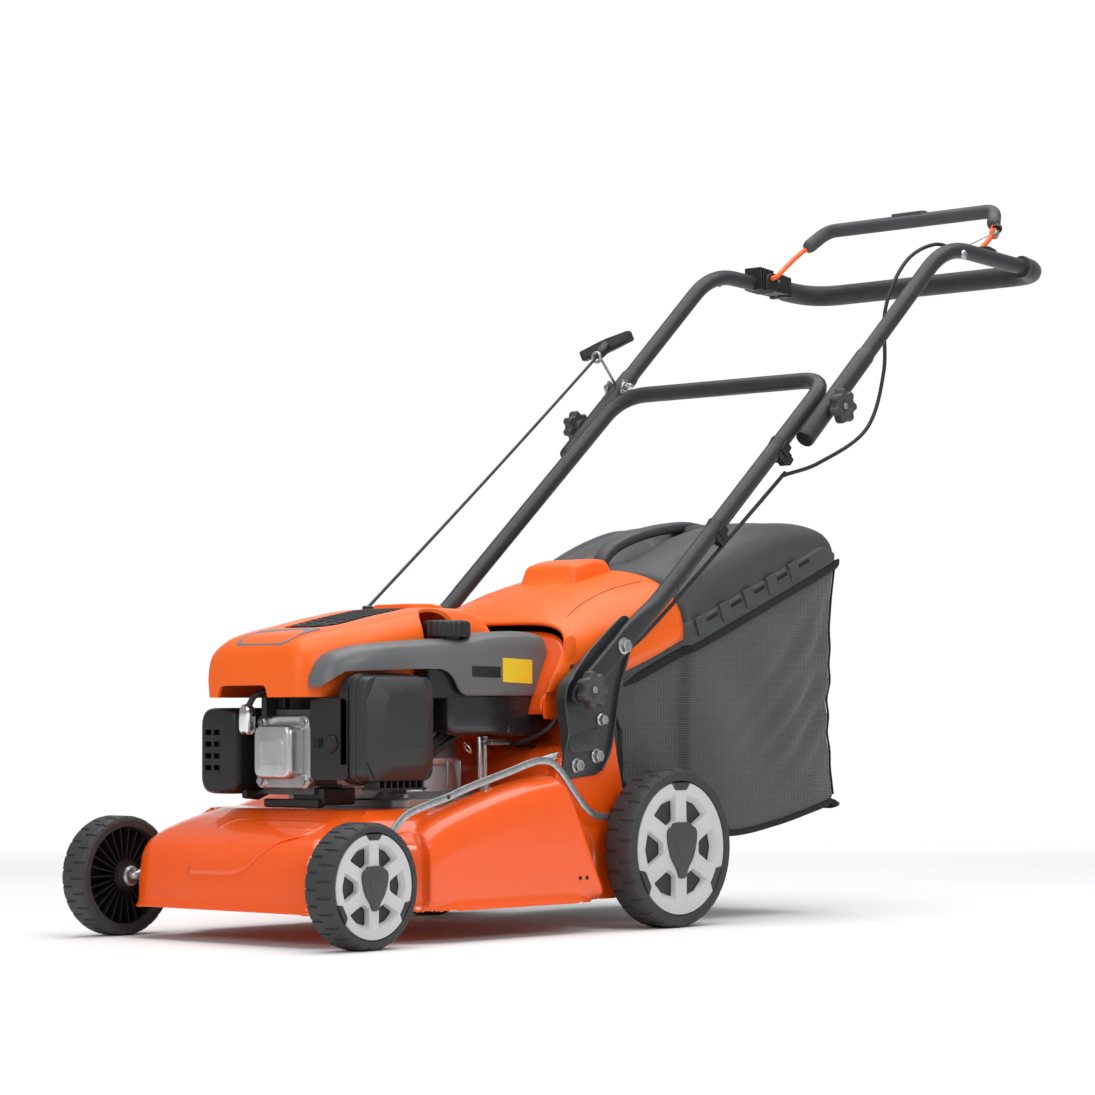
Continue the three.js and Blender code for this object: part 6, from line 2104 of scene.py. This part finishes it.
def add_blade_adapter():
    lathe("adapter_boss", [(11.4, 79), (20.5, 79), (22, 80.4), (22, 90), (20, 92), (11.4, 92)], "z",
          (0, 0, 0), IRON, "crank", segments=48, replaces="blade_adapter")
    foot = rounded([(-30, -14), (30, -14), (30, 14), (-30, 14)], 4, 4)
    plate("adapter_foot", foot, "z", 66.2, 79, IRON, "crank", bevel=1.0,
          holes=[circle(11.4, 32)])


def add_blade():
    rings = []
    for s in np.linspace(-195, 195, 79):
        side = 1 if s > 0 else -1
        reach = abs(s)
        lift = smooth_table([(0, 0), (128, 0), (150, 1), (195, 1)], [reach])[0][0]
        edge = smooth_table([(0, 0), (110, 0), (130, 1), (195, 1)], [reach])[0][0]
        taper = smooth_table([(0, 0), (186, 0), (192, 0.06), (195, 0.16)], [reach])[0][0]
        w = 25 * (1 - taper)
        cut_edge = [(-w, 61.4 + 1.9 * edge), (-w + 9, 61.3)]
        trailing = [(w - 8, 61.3 + 3 * lift), (w, 61.6 + 11 * lift), (w - 1, 65.4 + 10.5 * lift),
                    (w - 10, 65.6 + 2 * lift)]
        top = [(-w + 9, 65.7), (-w, 65.6 - 1.9 * edge)]
        line = cut_edge + trailing + top
        rings.append([(s, side * y, z) for y, z in line] if side > 0
                     else [(s, -y, z) for y, z in line])
    skinned("blade_bar", rings, STEEL, "crank", smooth=35, replaces="blade")
    hex_bolt("blade_bolt", (0, 0, 61.4), "z", 9, 6.4, "crank", sign=-1)
    lathe("blade_washer", [(0, 0), (15, 0), (15, 1.2), (0, 1.2)], "z", (0, 0, 60.4), ZINC, "crank",
          segments=40)


def add_rope_drum():
    drum = [(8.4, 346), (27, 346), (27, 348), (22.5, 349.6), (22.5, 354.4), (27, 356), (27, 358), (0, 358),
            (0, 350.4), (8.4, 350.4)]
    lathe("rope_drum", drum, "z", (0, 0, 0), BLACK, "starter_pulley", segments=64,
          replaces="starter_pulley")
    coil = []
    for k in range(260):
        a = 2 * math.pi * k / 60
        coil.append((24.4 * math.cos(a), 24.4 * math.sin(a), 350.2 + 3.6 * k / 259))
    tube("rope_on_drum", coil, 1.4, CORD, "starter_pulley", sides=8, smooth=60)


def add_back_wall():
    """The deck's orange bulkhead that closes the space under the flap's front edge."""
    rim = arch(144.0, 282, 363, 5, steps=60, back=57, y=109)
    rows = []
    for t in np.linspace(0, 1, 14):
        bulge = 7 * math.sin(math.pi * t)
        rows.append([(x * (1 - 0.02 * (1 - t)), 108 + (y - 108) * t - bulge, 261 + (z - 261) * t)
                     for x, y, z in rim])
    wall = skinned("bulkhead", rows, ENAMEL, "mower", closed=False, caps=False, smooth=60)
    thicken(wall, 2, 0)
    for label, x in (("left", 143.5), ("right", -146)):
        cheek = rounded([(105, 255), (236, 255), (236, 296), (150, 296), (106, 284)], 5, 3)
        plate(f"bulkhead_cheek_{label}", cheek, "x", x, x + 2.5, ENAMEL, "mower", bevel=0.6)


def add_blower_case():
    """Black sheet that carries the cooling air down over the cylinder."""
    front = rounded([(-66, 252), (60, 252), (60, 300), (-66, 300)], 5, 3)
    plate("blower_front", front, "y", -152, -149.5, BLACK, "mower", bevel=0.6)
    for label, x in (("left", 60), ("right", -68.5)):
        flank = rounded([(-150, 256), (-84, 256), (-84, 300), (-150, 300)], 5, 3)
        plate(f"blower_{label}", flank, "x", x, x + 2.5, BLACK, "mower", bevel=0.6)


def add_rope_end():
    """The rope's end inside the guide, a fixed tube where the real rope lengthens when the handle is
    pulled.
    """
    eye = ROPE_EYE
    line = unit(ROPE_OUTLET - eye)
    route = [eye + line * t for t in np.linspace(6, -10, 24)]
    bodies = ("upper_handle", "starter_grip", P(*(eye + line * 4)), P(*(eye - line * 6)))
    tube("rope_end", route, 1.8, CORD, bodies, sides=12, smooth=60)


add_shaft()
add_flywheel()
add_blade_adapter()
add_blade()
add_rope_drum()
add_back_wall()
add_blower_case()
add_rope_end()
